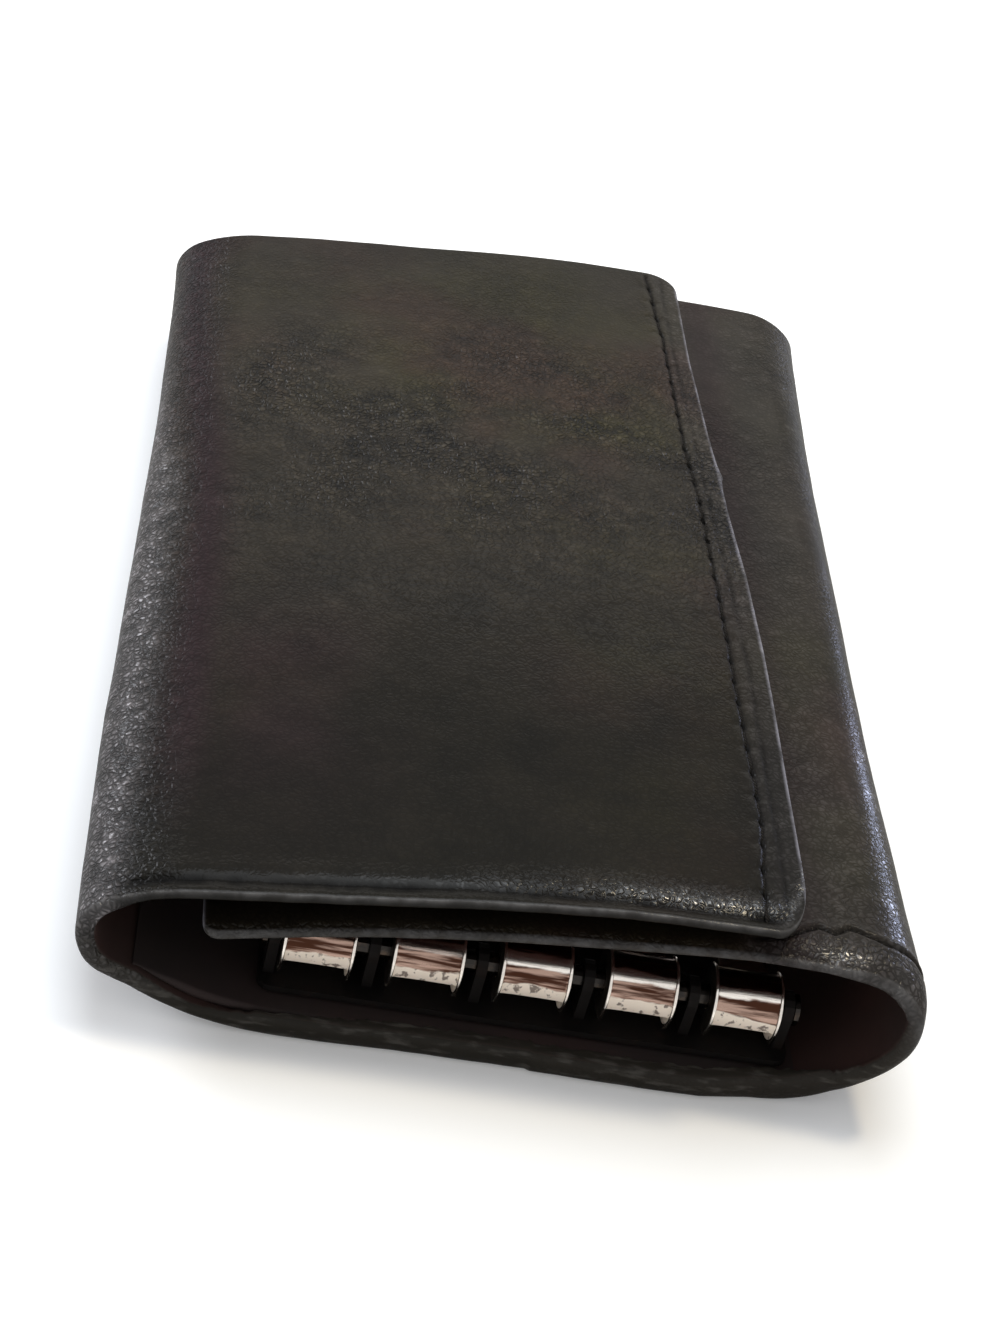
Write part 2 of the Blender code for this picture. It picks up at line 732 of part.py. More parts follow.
TAIL_START = SADDLE_BAND_RADIUS - SADDLE_RIM
CHAMBER_START = SADDLE_BAND_RADIUS + SADDLE_NECK
CHAMBER_END = CHAMBER_START + SADDLE_CHAMBER
TAIL_END = CHAMBER_END + SADDLE_END_WALL
COLLAR_START = TAIL_END + LAY_GAP
ROOT_START = COLLAR_START + COLLAR_LENGTH
PIVOT_Y = ROOT_START + GATE_PIVOT
PIVOT_X = HOOK_WIDTH / 2 - GATE_EYE_RADIUS


def make_saddle():
    half = SADDLE_WIDTH / 2
    profile = [
        (0, -half),
        (SADDLE_RIM_RADIUS, -half),
        (SADDLE_RIM_RADIUS, -half + SADDLE_RIM / 2),
        (SADDLE_BAND_RADIUS, -half + SADDLE_RIM),
        (SADDLE_BAND_RADIUS, half - SADDLE_RIM),
        (SADDLE_RIM_RADIUS, half - SADDLE_RIM / 2),
        (SADDLE_RIM_RADIUS, half),
        (0, half),
    ]
    saddle = turned("saddle", profile, "X", (0, 0, 0), ROUND_SEGMENTS, nickel("saddle_nickel"))
    tail_half = SADDLE_TAIL_WIDTH / 2
    tail_outline = box_outline((-tail_half, TAIL_START), (tail_half, TAIL_END))
    tail = prism("tail", tail_outline, "Z", -SADDLE_TAIL_HEIGHT / 2, SADDLE_TAIL_HEIGHT / 2)
    combine(saddle, "UNION", tail)
    chamber_half = SADDLE_CHAMBER_WIDTH / 2
    chamber_outline = box_outline((-chamber_half, CHAMBER_START), (chamber_half, CHAMBER_END))
    chamber = prism("chamber", chamber_outline, "Z", -SADDLE_TAIL_HEIGHT, SADDLE_TAIL_HEIGHT)
    bore = rod_profile(RAIL_ROD_RADIUS + PIN_GAP, -SADDLE_WIDTH, SADDLE_WIDTH)
    shaft = rod_profile(SWIVEL_SHANK_RADIUS + PIN_GAP, (CHAMBER_START + CHAMBER_END) / 2, TAIL_END + CUT_OVERRUN)
    combine(
        saddle,
        "DIFFERENCE",
        chamber,
        turned("bore", bore, "X", (0, 0, 0), SMALL_SEGMENTS),
        turned("shank_hole", shaft, "Y", (0, 0, 0), SMALL_SEGMENTS),
    )
    return saddle


def hook_outline():
    """The flat hook seen from above: a long loop whose right side is open for the gate."""
    half = HOOK_WIDTH / 2
    inner = half - HOOK_WALL
    tip = ROOT_START + HOOK_LENGTH - half
    nose = ROOT_START + HOOK_LENGTH - GATE_MOUTH
    loop = ROOT_START + HOOK_ROOT
    steps = 6
    points = [(-COLLAR_RADIUS, ROOT_START), (-half, ROOT_START + HOOK_SHOULDER)]
    for step in range(2 * steps + 1):
        angle = math.pi - math.pi * step / (2 * steps)
        points.append((half * math.cos(angle), tip + half * math.sin(angle)))
    points += [(half, nose), (inner, nose)]
    for step in range(2 * steps + 1):
        angle = math.pi * step / (2 * steps)
        points.append((inner * math.cos(angle), tip + inner * math.sin(angle)))
    points += [
        (-inner, loop + HOOK_WALL),
        (-inner + HOOK_WALL / 2, loop),
        (half, loop),
        (half, ROOT_START + HOOK_SHOULDER),
        (COLLAR_RADIUS, ROOT_START),
    ]
    return points


def make_hook():
    half_thickness = HOOK_THICKNESS / 2
    hook = prism("hook", hook_outline(), "Z", -half_thickness, half_thickness, nickel("hook_nickel"))
    bevel = hook.modifiers.new("edge", "BEVEL")
    bevel.width = HOOK_BEVEL
    bevel.segments = 1
    bevel.limit_method = "ANGLE"
    bevel.angle_limit = math.radians(60)
    head_start = CHAMBER_START + LAY_GAP
    head_end = CHAMBER_END - LAY_GAP
    shank = turned(
        "shank",
        [
            (0, head_start),
            (SWIVEL_HEAD_RADIUS, head_start),
            (SWIVEL_HEAD_RADIUS, head_end),
            (SWIVEL_SHANK_RADIUS, head_end),
            (SWIVEL_SHANK_RADIUS, COLLAR_START),
            (COLLAR_RADIUS, COLLAR_START),
            (COLLAR_RADIUS, ROOT_START + HOOK_BEVEL * 2),
            (SWIVEL_SHANK_RADIUS, ROOT_START + HOOK_SHOULDER / 2),
            (0, ROOT_START + HOOK_SHOULDER / 2),
        ],
        "Y",
        (0, 0, 0),
        SMALL_SEGMENTS,
    )
    combine(hook, "UNION", shank)
    slot_low = (PIVOT_X - GATE_EYE_RADIUS - LAY_GAP, PIVOT_Y - GATE_EYE_RADIUS - LAY_GAP)
    slot_high = (HOOK_WIDTH, ROOT_START + HOOK_ROOT + CUT_OVERRUN)
    slot = prism("slot", box_outline(slot_low, slot_high), "Z", -GATE_SLOT / 2, GATE_SLOT / 2)
    pin_hole = rod_profile(GATE_PIN_RADIUS + PIN_GAP, -HOOK_THICKNESS, HOOK_THICKNESS)
    combine(
        hook, "DIFFERENCE", slot, turned("pin_hole", pin_hole, "Z", (PIVOT_X, PIVOT_Y, 0), SMALL_SEGMENTS)
    )
    return hook


def make_gate():
    """The sprung lever that closes the hook's right side, round its pin."""
    eye = rod_profile(GATE_EYE_RADIUS, -GATE_EYE_THICKNESS / 2, GATE_EYE_THICKNESS / 2)
    gate = turned("gate", eye, "Z", (PIVOT_X, PIVOT_Y, 0), SMALL_SEGMENTS, nickel("gate_nickel"))
    outside = HOOK_WIDTH / 2
    inside = outside - GATE_BLADE_WIDTH
    blade_start = ROOT_START + HOOK_ROOT + LAY_GAP
    blade_end = ROOT_START + HOOK_LENGTH - GATE_MOUTH - GATE_TIP_GAP
    stem_outline = box_outline((inside, PIVOT_Y), (outside, blade_end - GATE_BLADE_WIDTH))
    stem = prism("stem", stem_outline, "Z", -GATE_EYE_THICKNESS / 2, GATE_EYE_THICKNESS / 2)
    blade_outline = box_outline((inside, blade_start), (outside, blade_end))
    blade = prism("blade", blade_outline, "Z", -GATE_BLADE_THICKNESS / 2, GATE_BLADE_THICKNESS / 2)
    combine(gate, "UNION", stem, blade)
    pin_hole = rod_profile(GATE_PIN_RADIUS + PIN_GAP, -HOOK_THICKNESS, HOOK_THICKNESS)
    combine(gate, "DIFFERENCE", turned("eye_hole", pin_hole, "Z", (PIVOT_X, PIVOT_Y, 0), SMALL_SEGMENTS))
    return gate


def make_pin():
    profile = rod_profile(GATE_PIN_RADIUS, -HOOK_THICKNESS / 2, HOOK_THICKNESS / 2)
    return turned("pin", profile, "Z", (PIVOT_X, PIVOT_Y, 0), SMALL_SEGMENTS, dark_steel("pin_steel"))


def make_hooks(plate):
    """The saddles with their hooks, as wide as the rail's fit; each moving piece has its origin on its axis."""
    samples = {"saddle": make_saddle(), "hook": make_hook(), "gate": make_gate(), "gate_pin": make_pin()}
    for sample in samples.values():
        sample.data.transform(Matrix.Diagonal((rail_fit(), 1, 1, 1)))
    pivot = Vector((PIVOT_X * rail_fit(), PIVOT_Y, 0))
    for kind in ("gate", "gate_pin"):
        samples[kind].data.transform(Matrix.Translation(-pivot))
    for number, x in enumerate(hook_places(), 1):
        made = {}
        for kind, sample in samples.items():
            made[kind] = bpy.data.objects.new(f"{kind}_{number}", sample.data)
            bpy.context.scene.collection.objects.link(made[kind])
            made[kind].location = (x, ROD_Y, ROD_Z)
        made["gate"].location += pivot
        made["gate_pin"].location += pivot
        hang(made["saddle"], plate)
        hang(made["hook"], made["saddle"])
        hang(made["gate"], made["hook"])
        hang(made["gate_pin"], made["hook"])
    for sample in samples.values():
        bpy.data.objects.remove(sample)


for old in list(bpy.data.objects):
    bpy.data.objects.remove(old)

OUTER = outer_side()
INNER = inner_side(OUTER["edge"][1] - FLAP_THICKNESS - FLAP_GAP)

base_panel, base_inside = make_base(OUTER, INNER)
outer_lower, outer_upper = make_fold(OUTER_SIDE, "outer", OUTER["runs"])
inner_lower, inner_upper = make_fold(INNER_SIDE, "inner", INNER["runs"])
outer_face, outer_back = make_flap("outer_flap", OUTER, outer_outline, "outer_flap_leather")
inner_face, inner_back = make_flap("inner_flap", INNER, inner_outline, "inner_flap_leather")
snap_cap, snap_socket, snap_stud, snap_post = make_snap(outer_face, outer_back, inner_face, inner_back)
rail_plate, rail_rod, rail_rivets, rail_washers = make_rail(base_panel, base_inside)
make_hooks(rail_plate)

outer_hinge = (OUTER["hinge"][0], 0.0, OUTER["hinge"][1])
inner_hinge = (INNER["hinge"][0], 0.0, INNER["hinge"][1])
for piece in (outer_face, outer_back, snap_cap, snap_socket):
    set_origin(piece, outer_hinge)
for piece in (inner_face, inner_back, snap_stud, snap_post):
    set_origin(piece, inner_hinge)
for piece in (base_inside, rail_plate, rail_rod, *rail_rivets, *rail_washers, outer_lower, inner_lower):
    hang(piece, base_panel)
hang(outer_upper, outer_lower)
hang(inner_upper, inner_lower)
hang(outer_face, outer_upper)
hang(inner_face, inner_upper)
for piece in (outer_back, snap_cap, snap_socket):
    hang(piece, outer_face)
for piece in (inner_back, snap_stud, snap_post):
    hang(piece, inner_face)
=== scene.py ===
import math

import bmesh
import bpy
import numpy as np
from mathutils import Matrix, Vector, noise


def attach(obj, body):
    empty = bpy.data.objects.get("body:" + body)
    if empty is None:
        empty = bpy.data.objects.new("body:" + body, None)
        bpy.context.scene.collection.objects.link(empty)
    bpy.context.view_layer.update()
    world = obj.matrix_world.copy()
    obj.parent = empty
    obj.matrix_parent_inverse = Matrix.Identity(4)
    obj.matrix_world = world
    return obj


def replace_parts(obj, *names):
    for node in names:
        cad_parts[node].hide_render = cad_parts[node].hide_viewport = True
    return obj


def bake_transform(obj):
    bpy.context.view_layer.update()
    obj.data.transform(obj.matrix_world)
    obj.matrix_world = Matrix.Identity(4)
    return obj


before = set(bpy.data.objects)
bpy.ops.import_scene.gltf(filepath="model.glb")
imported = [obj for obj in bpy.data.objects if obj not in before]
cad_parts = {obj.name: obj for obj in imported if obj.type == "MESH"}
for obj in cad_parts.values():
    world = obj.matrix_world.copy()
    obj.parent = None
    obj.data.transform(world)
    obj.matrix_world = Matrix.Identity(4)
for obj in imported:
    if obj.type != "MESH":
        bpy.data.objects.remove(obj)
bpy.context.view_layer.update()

mm = 0.001
scene = bpy.context.scene


def smoothStep(low, high, value):
    t = np.clip((np.asarray(value, float) - low) / (high - low), 0.0, 1.0)
    return t * t * (3.0 - 2.0 * t)


def fade(low, high, value):
    return 1.0 - smoothStep(low, high, value)


def most(*parts):
    return np.maximum.reduce(parts)


def hump(value, centre, width):  # a smooth hump, 1 high at its centre
    return np.exp(-((np.asarray(value, float) - centre) / width) ** 2)


def ripple(a, b, seed, octaves=1):  # smooth noise over two arrays
    a, b = np.broadcast_arrays(np.asarray(a, float), np.asarray(b, float))
    flat = [noise.noise((u, v, seed)) for u, v in zip(a.ravel().tolist(), b.ravel().tolist())]
    total = np.array(flat).reshape(a.shape)
    if octaves > 1:
        total = total + 0.5 * ripple(a * 2.1, b * 2.1, seed + 7.3, octaves - 1)
    return total


def addObject(name, data):
    made = bpy.data.objects.new(name, data)
    scene.collection.objects.link(made)
    return made


camera = {
    "place": (-0.03719, -0.218125, 0.157145),
    "right": (0.97528, -0.02026, 0.22002),
    "up": (-0.16517, 0.59458, 0.78689),
    "forward": (0.14676, 0.80378, -0.57654),
    "lens": 72.92,
    "sensor": 36.0,
    "clip": (0.01, 20.0),
}


def makeCamera():
    data = bpy.data.cameras.new("camera")
    data.lens = camera["lens"]
    data.sensor_width = camera["sensor"]
    data.sensor_fit = "AUTO"
    data.clip_start, data.clip_end = camera["clip"]
    made = addObject("camera", data)
    right, up, forward = (Vector(camera[key]).normalized() for key in ("right", "up", "forward"))
    turn = Matrix((right, up, -forward)).transposed().to_4x4()
    made.matrix_world = Matrix.Translation(Vector(camera["place"])) @ turn
    scene.camera = made


makeCamera()
print("camera set")

# Section of the case: each side is a chain of arcs (radius, turn in degrees) from the flat base, out and over
case = {
    "near": -56.0,
    "far": 56.0,
    "leftStart": -17.625,
    "rightStart": 24.947,
    "leftArcs": [(30.0, 30.0), (5.15, 60.0), (3.6, 60.0), (19.0, 22.0)],
    "leftSlope": (29.57, 2.0),  # width and turn
    "leftCrown": (24.4, 8.5),  # free edge and turn
    "rightArcs": [(8.5, 30.0), (12.005, 60.0), (4.1, 60.0), (7.5, 30.0)],
    "rightCrown": (-24.5, 11.3),
}


def makeChain(side, start, arcs):
    parts, place, turn, length = [], (start, 0.0), 0.0, 0.0
    for radius, sweep in arcs:
        parts.append((length, radius, turn, place))
        turned = turn + math.radians(sweep)
        place = (
            place[0] + side * radius * (math.sin(turned) - math.sin(turn)),
            place[1] + radius * (math.cos(turn) - math.cos(turned)),
        )
        turn = turned
        length += radius * math.radians(sweep)
    return {"side": side, "parts": parts, "length": length, "endX": place[0], "turn": turn}


def addArc(side, start, arcs, sweep, width=None, endX=None):  # one more arc, of a given width or up to a place
    ended = makeChain(side, start, arcs)
    width = abs(endX - ended["endX"]) if width is None else width
    arcs.append((abs(width / (math.sin(ended["turn"] + math.radians(sweep)) - math.sin(ended["turn"]))), sweep))


def makeChains():
    leftArcs, rightArcs = list(case["leftArcs"]), list(case["rightArcs"])
    addArc(-1, case["leftStart"], leftArcs, case["leftSlope"][1], width=case["leftSlope"][0])
    addArc(-1, case["leftStart"], leftArcs, case["leftCrown"][1], endX=case["leftCrown"][0])
    addArc(1, case["rightStart"], rightArcs, case["rightCrown"][1], endX=case["rightCrown"][0])
    made = makeChain(-1, case["leftStart"], leftArcs), makeChain(1, case["rightStart"], rightArcs)
    for chain in made:
        chain["hinges"] = [chain["parts"][index][0] for index in (1, 2, 3)]
    return made


leftChain, rightChain = makeChains()


def chainAt(chain, lengths):  # points (x, z) and turns along a chain, straight before its start
    lengths = np.asarray(lengths, float)
    x, z, turns = (np.zeros_like(lengths) for _ in range(3))
    which = np.searchsorted([part[0] for part in chain["parts"]], lengths, side="right") - 1
    for index, (start, radius, turn, place) in enumerate(chain["parts"]):
        pick = which == index
        now = turn + (lengths[pick] - start) / radius
        x[pick] = place[0] + chain["side"] * radius * (np.sin(now) - math.sin(turn))
        z[pick] = place[1] + radius * (math.cos(turn) - np.cos(now))
        turns[pick] = now
    flat = which < 0
    x[flat] = chain["parts"][0][3][0] + chain["side"] * lengths[flat]
    return x, z, turns


# How the real leather departs from the plain section. Tables run over the length along each chain, but the bulges
# over the share of the case's length.
leather = {
    "lap": 1.6,  # bent stretch on each side of a hinge line
    "nearStep": 0.21,
    "nearReach": 8.0,
    "farReach": 4.0,
    "farStep": 0.4,
    "keep": 12.0,  # true spacing this far from each end, stretched between
    "noEdge": 9.0,  # the gap to a free edge where there is none
    "slack": 0.02,  # between a flap and its lining
    "rim": 0.55,
    "ringSteps": 6,  # points round a near or far rim
    "leftBack": (
        [-22, -10, -4, 0, 5, 8, 11, 13, 16, 18, 21, 26, 40, 56, 66, 76, 84],
        [-0.1, -0.2, -0.45, -0.5, -0.4, -0.3, -0.1, 0, -0.35, -0.5, -0.3, 0, 0.1, 0.8, 1.0, 1.1, 1.25],
    ),
    "rightBack": (
        [-43, -10, -6, -1.7, 2.4, 5.5, 9, 13, 18, 20, 22.5, 26, 30, 35, 45, 54, 65, 80],
        [-0.1, -0.4, -0.3, 0.4, 0.8, 0.9, 0.5, 0.1, 0, 0.5, 1.1, 1.3, 1.5, 1.7, 1.3, 1.0, 0.8, 0.0],
    ),
    "leftBulge": ([0, 0.1, 0.25, 0.5, 0.7, 0.9, 1], [0.0, 0.2, 0.3, 0.0, -0.2, 0.0, 0.3]),
    "rightBulge": ([0, 0.1, 0.3, 0.7, 0.9, 1], [0.7, 0.15, -0.5, -0.45, 0.2, 0.8]),
    "leftThick": ([0, 8, 13, 23, 29], [1.25, 1.25, 1.75, 1.6, 1.15]),
    "rightThick": ([-8, 2.5, 14, 19, 31], [1.25, 1.75, 1.75, 1.4, 1.15]),
    "thinned": 0.3,  # taken off the flaps towards their near edges
    "lip": 1.05,  # the worn near edge of the base and folds is thicker by this much
    "leftLip": ([-22, -9, -3, 2, 6, 12, 19, 24], [1.6, 1.5, 1.0, 0.6, 0.35, 0.15, 0.1, 0.0]),
    "rightLip": ([-22, -6, 0, 3, 6, 12, 16, 20, 23], [1.6, 1.6, 1.5, 1.1, 0.5, 0.25, 0.25, 0.3, 0.2]),
    "leftToneAndSheen": ([-56, -40, -22, 2, 26, 56], [0.0, 0.04, 0.2, 0.75, 1.0, 0.4]),  # over y: paler towards the far end, partly a painted sheen
    "waves": (0.07, 0.015),  # heights of the large and small waves
    "roll": 1.15,  # how much lower the near edge over the right fold and inner flap is
    "rollReach": 3.4,
    "crack": (
        [17.5, 18.96, 21.05, 23.23, 24.38, 25.47, 26.53, 27.93, 29.21, 30.64, 32.0, 35.0],
        [-52.2, -51.65, -50.96, -51.14, -50.86, -50.49, -50.21, -51.14, -50.58, -51.33, -52.08, -52.7],
    ),
    "stitchY": [-54.6, -49.5, -41.6, -35.4, -30.9, -21.9, -13.7, -0.6, 9.5, 17.9, 29.3, 40.9, 53.1, 56],
    "stitchX": [20.15, 20.15, 20.8, 20.74, 20.56, 20.32, 20.19, 19.76, 19.4, 18.66, 18.24, 17.81, 16.83, 16.6],
    "stitchPitch": 3.3,
    "stitchOffset": 100.0,  # keeps the stitches' numbers positive
}

# Creases, stitched groove and crack. Pairs under crease are at the free edge, and what the near edge adds
crease = {
    "gap": 1.75,  # from the edge
    "width": (0.24, 0.34),
    "depth": (0.08, 0.14),
    "dark": (0.55, 0.4),
    "swell": (3.5, 1.0, 0.06),  # gap, width and height of the swell behind it
    "droop": (1.5, 0.9, 0.16),  # gap, width and depth of the droop near the right corner
    "ends": (53.5, 55),
}
seam = {
    "groove": (0.19, 0.19),  # width and depth
    "prick": (0.22, 0.4, 0.2),  # width, length and depth of each hole
    "slant": 0.45,
    "puff": (0.7, 0.45, 0.06),  # place beside the groove, width and height
    "near": (-53.2, -51.8),
    "far": (54.2, 55.0),
}
crackForm = {
    "width": 0.17,
    "depth": 0.3,
    "from": (17.3, 19.0),
    "to": (32.5, 36.5),
    "banks": ((0.55, 0.4, 0.12), (-0.6, 0.4, 0.06)),  # place, width and height of the swells beside it
}


def fromTable(name, lengths):
    return np.interp(lengths, *leather[name])


def sideTable(chain, name, lengths):
    return fromTable(("left" if chain["side"] < 0 else "right") + name, lengths)


def shares(midStep):  # places along the case as shares of its length, dense at both ends
    total = case["far"] - case["near"]
    reach, farReach = leather["nearReach"], leather["farReach"]
    near = np.arange(0.0, reach, leather["nearStep"])
    middle = np.linspace(reach, total - farReach, int((total - reach - farReach) / midStep))
    far = np.linspace(total - farReach, total, int(farReach / leather["farStep"]) + 1)[1:]
    return np.concatenate([near, middle, far]) / total


def plainSurface(chain, lengths, share):
    x, z, turns = (each.reshape(lengths.shape) for each in chainAt(chain, lengths.ravel()))
    sideways = np.clip(np.sin(turns), 0.0, 1.0) ** 2
    if chain["side"] < 0:
        x = x - sideways * fromTable("leftBulge", share)
        z = z + 0.35 * share ** 4 * smoothStep(21, 26, lengths)
    else:
        x = x + sideways * fromTable("rightBulge", share)
        z = z + 0.15 * share ** 6 * smoothStep(19, 24, lengths)
    return x, z


def leftRelief(lengths, x, y, nearGap, edgeGap):  # heights on the outer flap's side, and how dark its creases are
    over = smoothStep(23, 29, lengths)
    gap, nearer = nearGap, np.ones(lengths.shape)
    if edgeGap is not None:  # one crease runs along the near edge, round the corner and along the free edge
        gap = -np.logaddexp(-2 * nearGap, -2 * edgeGap) / 2
        nearer = smoothStep(-1, 1, edgeGap - nearGap)
    uneven = 0.8 + 0.35 * ripple(lengths / 4, y / 6, 2.2) + 0.45 * ripple(lengths * 0.9, y / 2, 6.6)
    width, depth, dark = (low + more * nearer for low, more in (crease["width"], crease["depth"], crease["dark"]))
    fold = hump(gap, crease["gap"], width) * over * uneven * fade(*crease["ends"], y)
    place, spread, high = crease["swell"]
    height = -depth * fold + high * hump(gap, place, spread) * over * nearer
    place, spread, low = crease["droop"]
    height = height - low * hump(gap, place, spread) * smoothStep(56, 70, lengths) * nearer
    # the crease is painted dark: painted shade with some dirt
    groove = dark * fold
    if edgeGap is None:
        return height, groove
    pitch, offset = leather["stitchPitch"], leather["stitchOffset"]
    across = x - np.interp(y, leather["stitchY"], leather["stitchX"])
    phase = (y + offset) / pitch
    number = np.round(phase)
    hole = (phase - number) * pitch - 0.5 * ripple(number * 1.37, lengths * 0, 77.0)
    along = smoothStep(*seam["near"], y) * fade(*seam["far"], y)
    wide, deep = seam["groove"]
    sewn = hump(across + 0.12 * ripple(y / 1.7, lengths * 0, 4.4), 0.0, wide) * along
    width, length, prickDeep = seam["prick"]
    pricks = hump(across + 0.07 + seam["slant"] * hole, 0.0, width) * hump(hole, 0.0, length) * along
    place, spread, high = seam["puff"]
    puff = (hump(across, -place, spread) + hump(across, place, spread)) * along * (1 - hump(hole, 0, 0.5))
    height = height - deep * sewn - prickDeep * pricks + high * puff
    # the stitch groove and holes are painted dark: painted shade with some dirt
    return height, most(groove, np.clip(0.85 * sewn + pricks, 0, 1))


def rightRelief(lengths, y, nearGap):  # the drooping near roll with its crack
    drop = np.clip(1 - nearGap / leather["rollReach"], 0, 1) ** 2
    height = -leather["roll"] * drop * smoothStep(13, 20, lengths)
    path = np.interp(lengths, *leather["crack"]) + 0.12 * ripple(lengths * 1.3, y * 0, 1.9)
    window = smoothStep(*crackForm["from"], lengths) * fade(*crackForm["to"], lengths)
    crack = hump(y, path, crackForm["width"]) * window
    height = height - crackForm["depth"] * crack
    for place, spread, high in crackForm["banks"]:
        height = height + high * hump(y, path + place, spread) * window
    # the crack is painted dark: painted shade with some dirt
    return height, np.clip(1.2 * crack, 0, 1)


def sheetRelief(chain, lengths, x, y, nearGap, edgeGap):
    left = chain["side"] < 0
    height, groove = leftRelief(lengths, x, y, nearGap, edgeGap) if left else rightRelief(lengths, y, nearGap)
    large, small = leather["waves"]
    waves = large * ripple(lengths / 11, y / 13, 3.1 if left else 8.4, 2)
    waves = waves + small * ripple(lengths / 2.1, y / 2.3, 5.7)
    return height + waves * smoothStep(1, 8, lengths), groove


def lipExtra(chain, lengths, nearGap):  # the thick ragged lip of the worn near edge
    width = sideTable(chain, "Lip", lengths)
    uneven = 0.32 * ripple(lengths * 0.9, lengths * 0, 9.1) + 0.2 * ripple(lengths * 2.7, lengths * 0, 2.9)
    ragged = width + uneven * np.clip(width, 0, 1)
    return leather["lip"] * np.clip(width / 0.6, 0, 1) * fade(ragged - 0.1, ragged + 0.35, nearGap)


def sheetRows(chain, lengths, share, edge, corners, rim, inset):
    # outer points and inward directions over a grid of lengths and shares, with what the finish reads
    side = chain["side"]
    x, z = plainSurface(chain, lengths, share)
    x1, z1 = plainSurface(chain, lengths - 0.05, share)
    x2, z2 = plainSurface(chain, lengths + 0.05, share)
    size = np.hypot(x2 - x1, z2 - z1)
    inward = np.stack([-(z2 - z1) / size * side, np.zeros_like(x), (x2 - x1) / size * side], axis=2)
    near = case["near"] + sideTable(chain, "Back", lengths) + 0.05 * ripple(lengths / 2.3, lengths * 0, 3.3)
    far = case["far"] + 0.12 * ripple(lengths / 6.0, lengths * 0, 12.3) - 0.12
    if corners is not None:  # rounded corners, each so far across and so far along
        left = np.clip(edge - lengths, 0, None)
        bites = [along * (1 - np.sqrt(1 - np.clip(1 - left / across, 0, 1) ** 2)) for across, along in corners]
        near, far = near + bites[0], far - bites[1]
    low, high = near + inset + rim, far - inset - rim
    plain, keep = case["far"] - case["near"], leather["keep"]
    steps = share * plain
    between = low + keep + (steps - keep) * (high - low - 2 * keep) / (plain - 2 * keep)
    y = np.where(steps < keep, low + steps, np.where(steps > plain - keep, high - (plain - steps), between))
    nearGap = y - near
    edgeGap = None if edge is None else edge - lengths
    height, groove = sheetRelief(chain, lengths, x, y, nearGap, edgeGap)
    outer = np.stack([x, y, z], axis=2) - inward * height[:, :, None]
    edgeGap = np.full(lengths.shape, leather["noEdge"]) if edgeGap is None else edgeGap
    return {
        "outer": outer, "inward": inward, "near": nearGap, "edge": edgeGap, "groove": groove, "lengths": lengths,
    }


def ringRows(rows, depth, offset, rim, capSteps):
    # closes each row into a ring: outer side, far rim, inner side, near rim
    ringSteps = leather["ringSteps"]
    inward = rows["inward"]
    outer = rows["outer"] + inward * np.broadcast_to(offset, depth.shape)[:, :, None]
    count = outer.shape[0]
    parts, picks = [1.0] * count, list(range(count))
    if capSteps:
        parts += list(np.cos(np.linspace(0, math.radians(84), capSteps + 1)[1:]))
        picks += [count - 1] * capSteps
    ahead = outer[-1] - outer[-2]
    ahead /= np.linalg.norm(ahead, axis=1, keepdims=True)
    angles = np.linspace(0, math.pi, ringSteps + 2)[1:-1]
    rings = []
    for position, (index, part) in enumerate(zip(picks, parts)):
        base, thick = outer[index], depth[index][:, None]
        if position >= count:
            base = base + ahead * (thick / 2 * math.sqrt(1 - part * part))
        top = base + inward[index] * thick / 2 * (1 - part)
        low = base + inward[index] * thick / 2 * (1 + part)
        loop = [top]
        for edge, sign in ((-1, 1.0), (0, -1.0)):
            middle, half = (top[edge] + low[edge]) / 2, (top[edge] - low[edge]) / 2 * sign
            out = np.array([0.0, sign * rim * part, 0.0])
            loop.append(np.array([middle + half * math.cos(a) + out * math.sin(a) for a in angles]))
            if sign > 0:
                loop.append(low[::-1])
        rings.append(np.concatenate(loop))
    return np.array(rings), picks


# Patches of paler grey, on the left fold partly a painted highlight, and of grain, gloss and painted shade: an amount
# and the spans that bound it. A span is a measure (length along the chain, y along the case, gap from the near edge,
# edge from the free edge), how it bounds, and two places, or a place and a spread.
patches = {
    "leftSide": [(0.14, ("edge", "to", 2.0, 4.5))],
    "leftGrain": [
        (0.8, ("length", "from", 9, 16), ("length", "to", 24, 33)),  # along the fold
        (0.45, ("gap", "at", 3.2, 1.7), ("length", "from", 48, 66)),  # near right corner
    ],
    "leftPolish": [
        (1.0, ("gap", "at", 2.6, 1.0), ("length", "from", 60, 73)),  # the glint at the near right corner
        (0.17, ("gap", "at", 2.6, 0.9), ("length", "from", 35, 60)),
    ],
    "rightSide": [
        (0.13, ("length", "to", 33, 37)),
        (0.1, ("y", "at", -38, 16), ("length", "to", 33, 37)),
        (0.22, ("gap", "to", 2.5, 4.5), ("length", "from", 14, 20), ("length", "to", 33, 37)),
    ],
    "rightGrain": [(0.35, ("gap", "to", 2.5, 4), ("length", "from", 16, 20))],
    "rightPolish": [
        (1.0, ("gap", "at", 1.3, 0.5), ("length", "at", 27.5, 2.4)),
        (0.03, ("gap", "to", 2.0, 3.2), ("length", "from", 16, 20)),
    ],
    "crest": [(0.125, ("length", "at", 21.7, 1.1)), (0.375, ("length", "at", 21.7, 1.1), ("y", "to", -30, -8))],
    "covered": [(1.0, ("length", "from", 34, 38), ("gap", "from", 0.5, 1.3))],  # painted shade on the inner flap where the outer flap covers it
}
shoulder = {"near": 29.8, "drawn": 4.6, "along": (-5, 48), "spread": 2.4}  # the painted maroon shade along the outer flap's shoulder, where the leather reflects little light
edgeShine = 0.28


def patchesOf(key, places):
    made = []
    for amount, *spans in patches[key]:
        part = np.full(places["y"].shape, amount)
        for measure, bound, first, second in spans:
            value = places[measure]
            if bound == "at":
                part = part * hump(value, first, second)
            else:
                part = part * (smoothStep if bound == "from" else fade)(first, second, value)
        made.append(part)
    return made


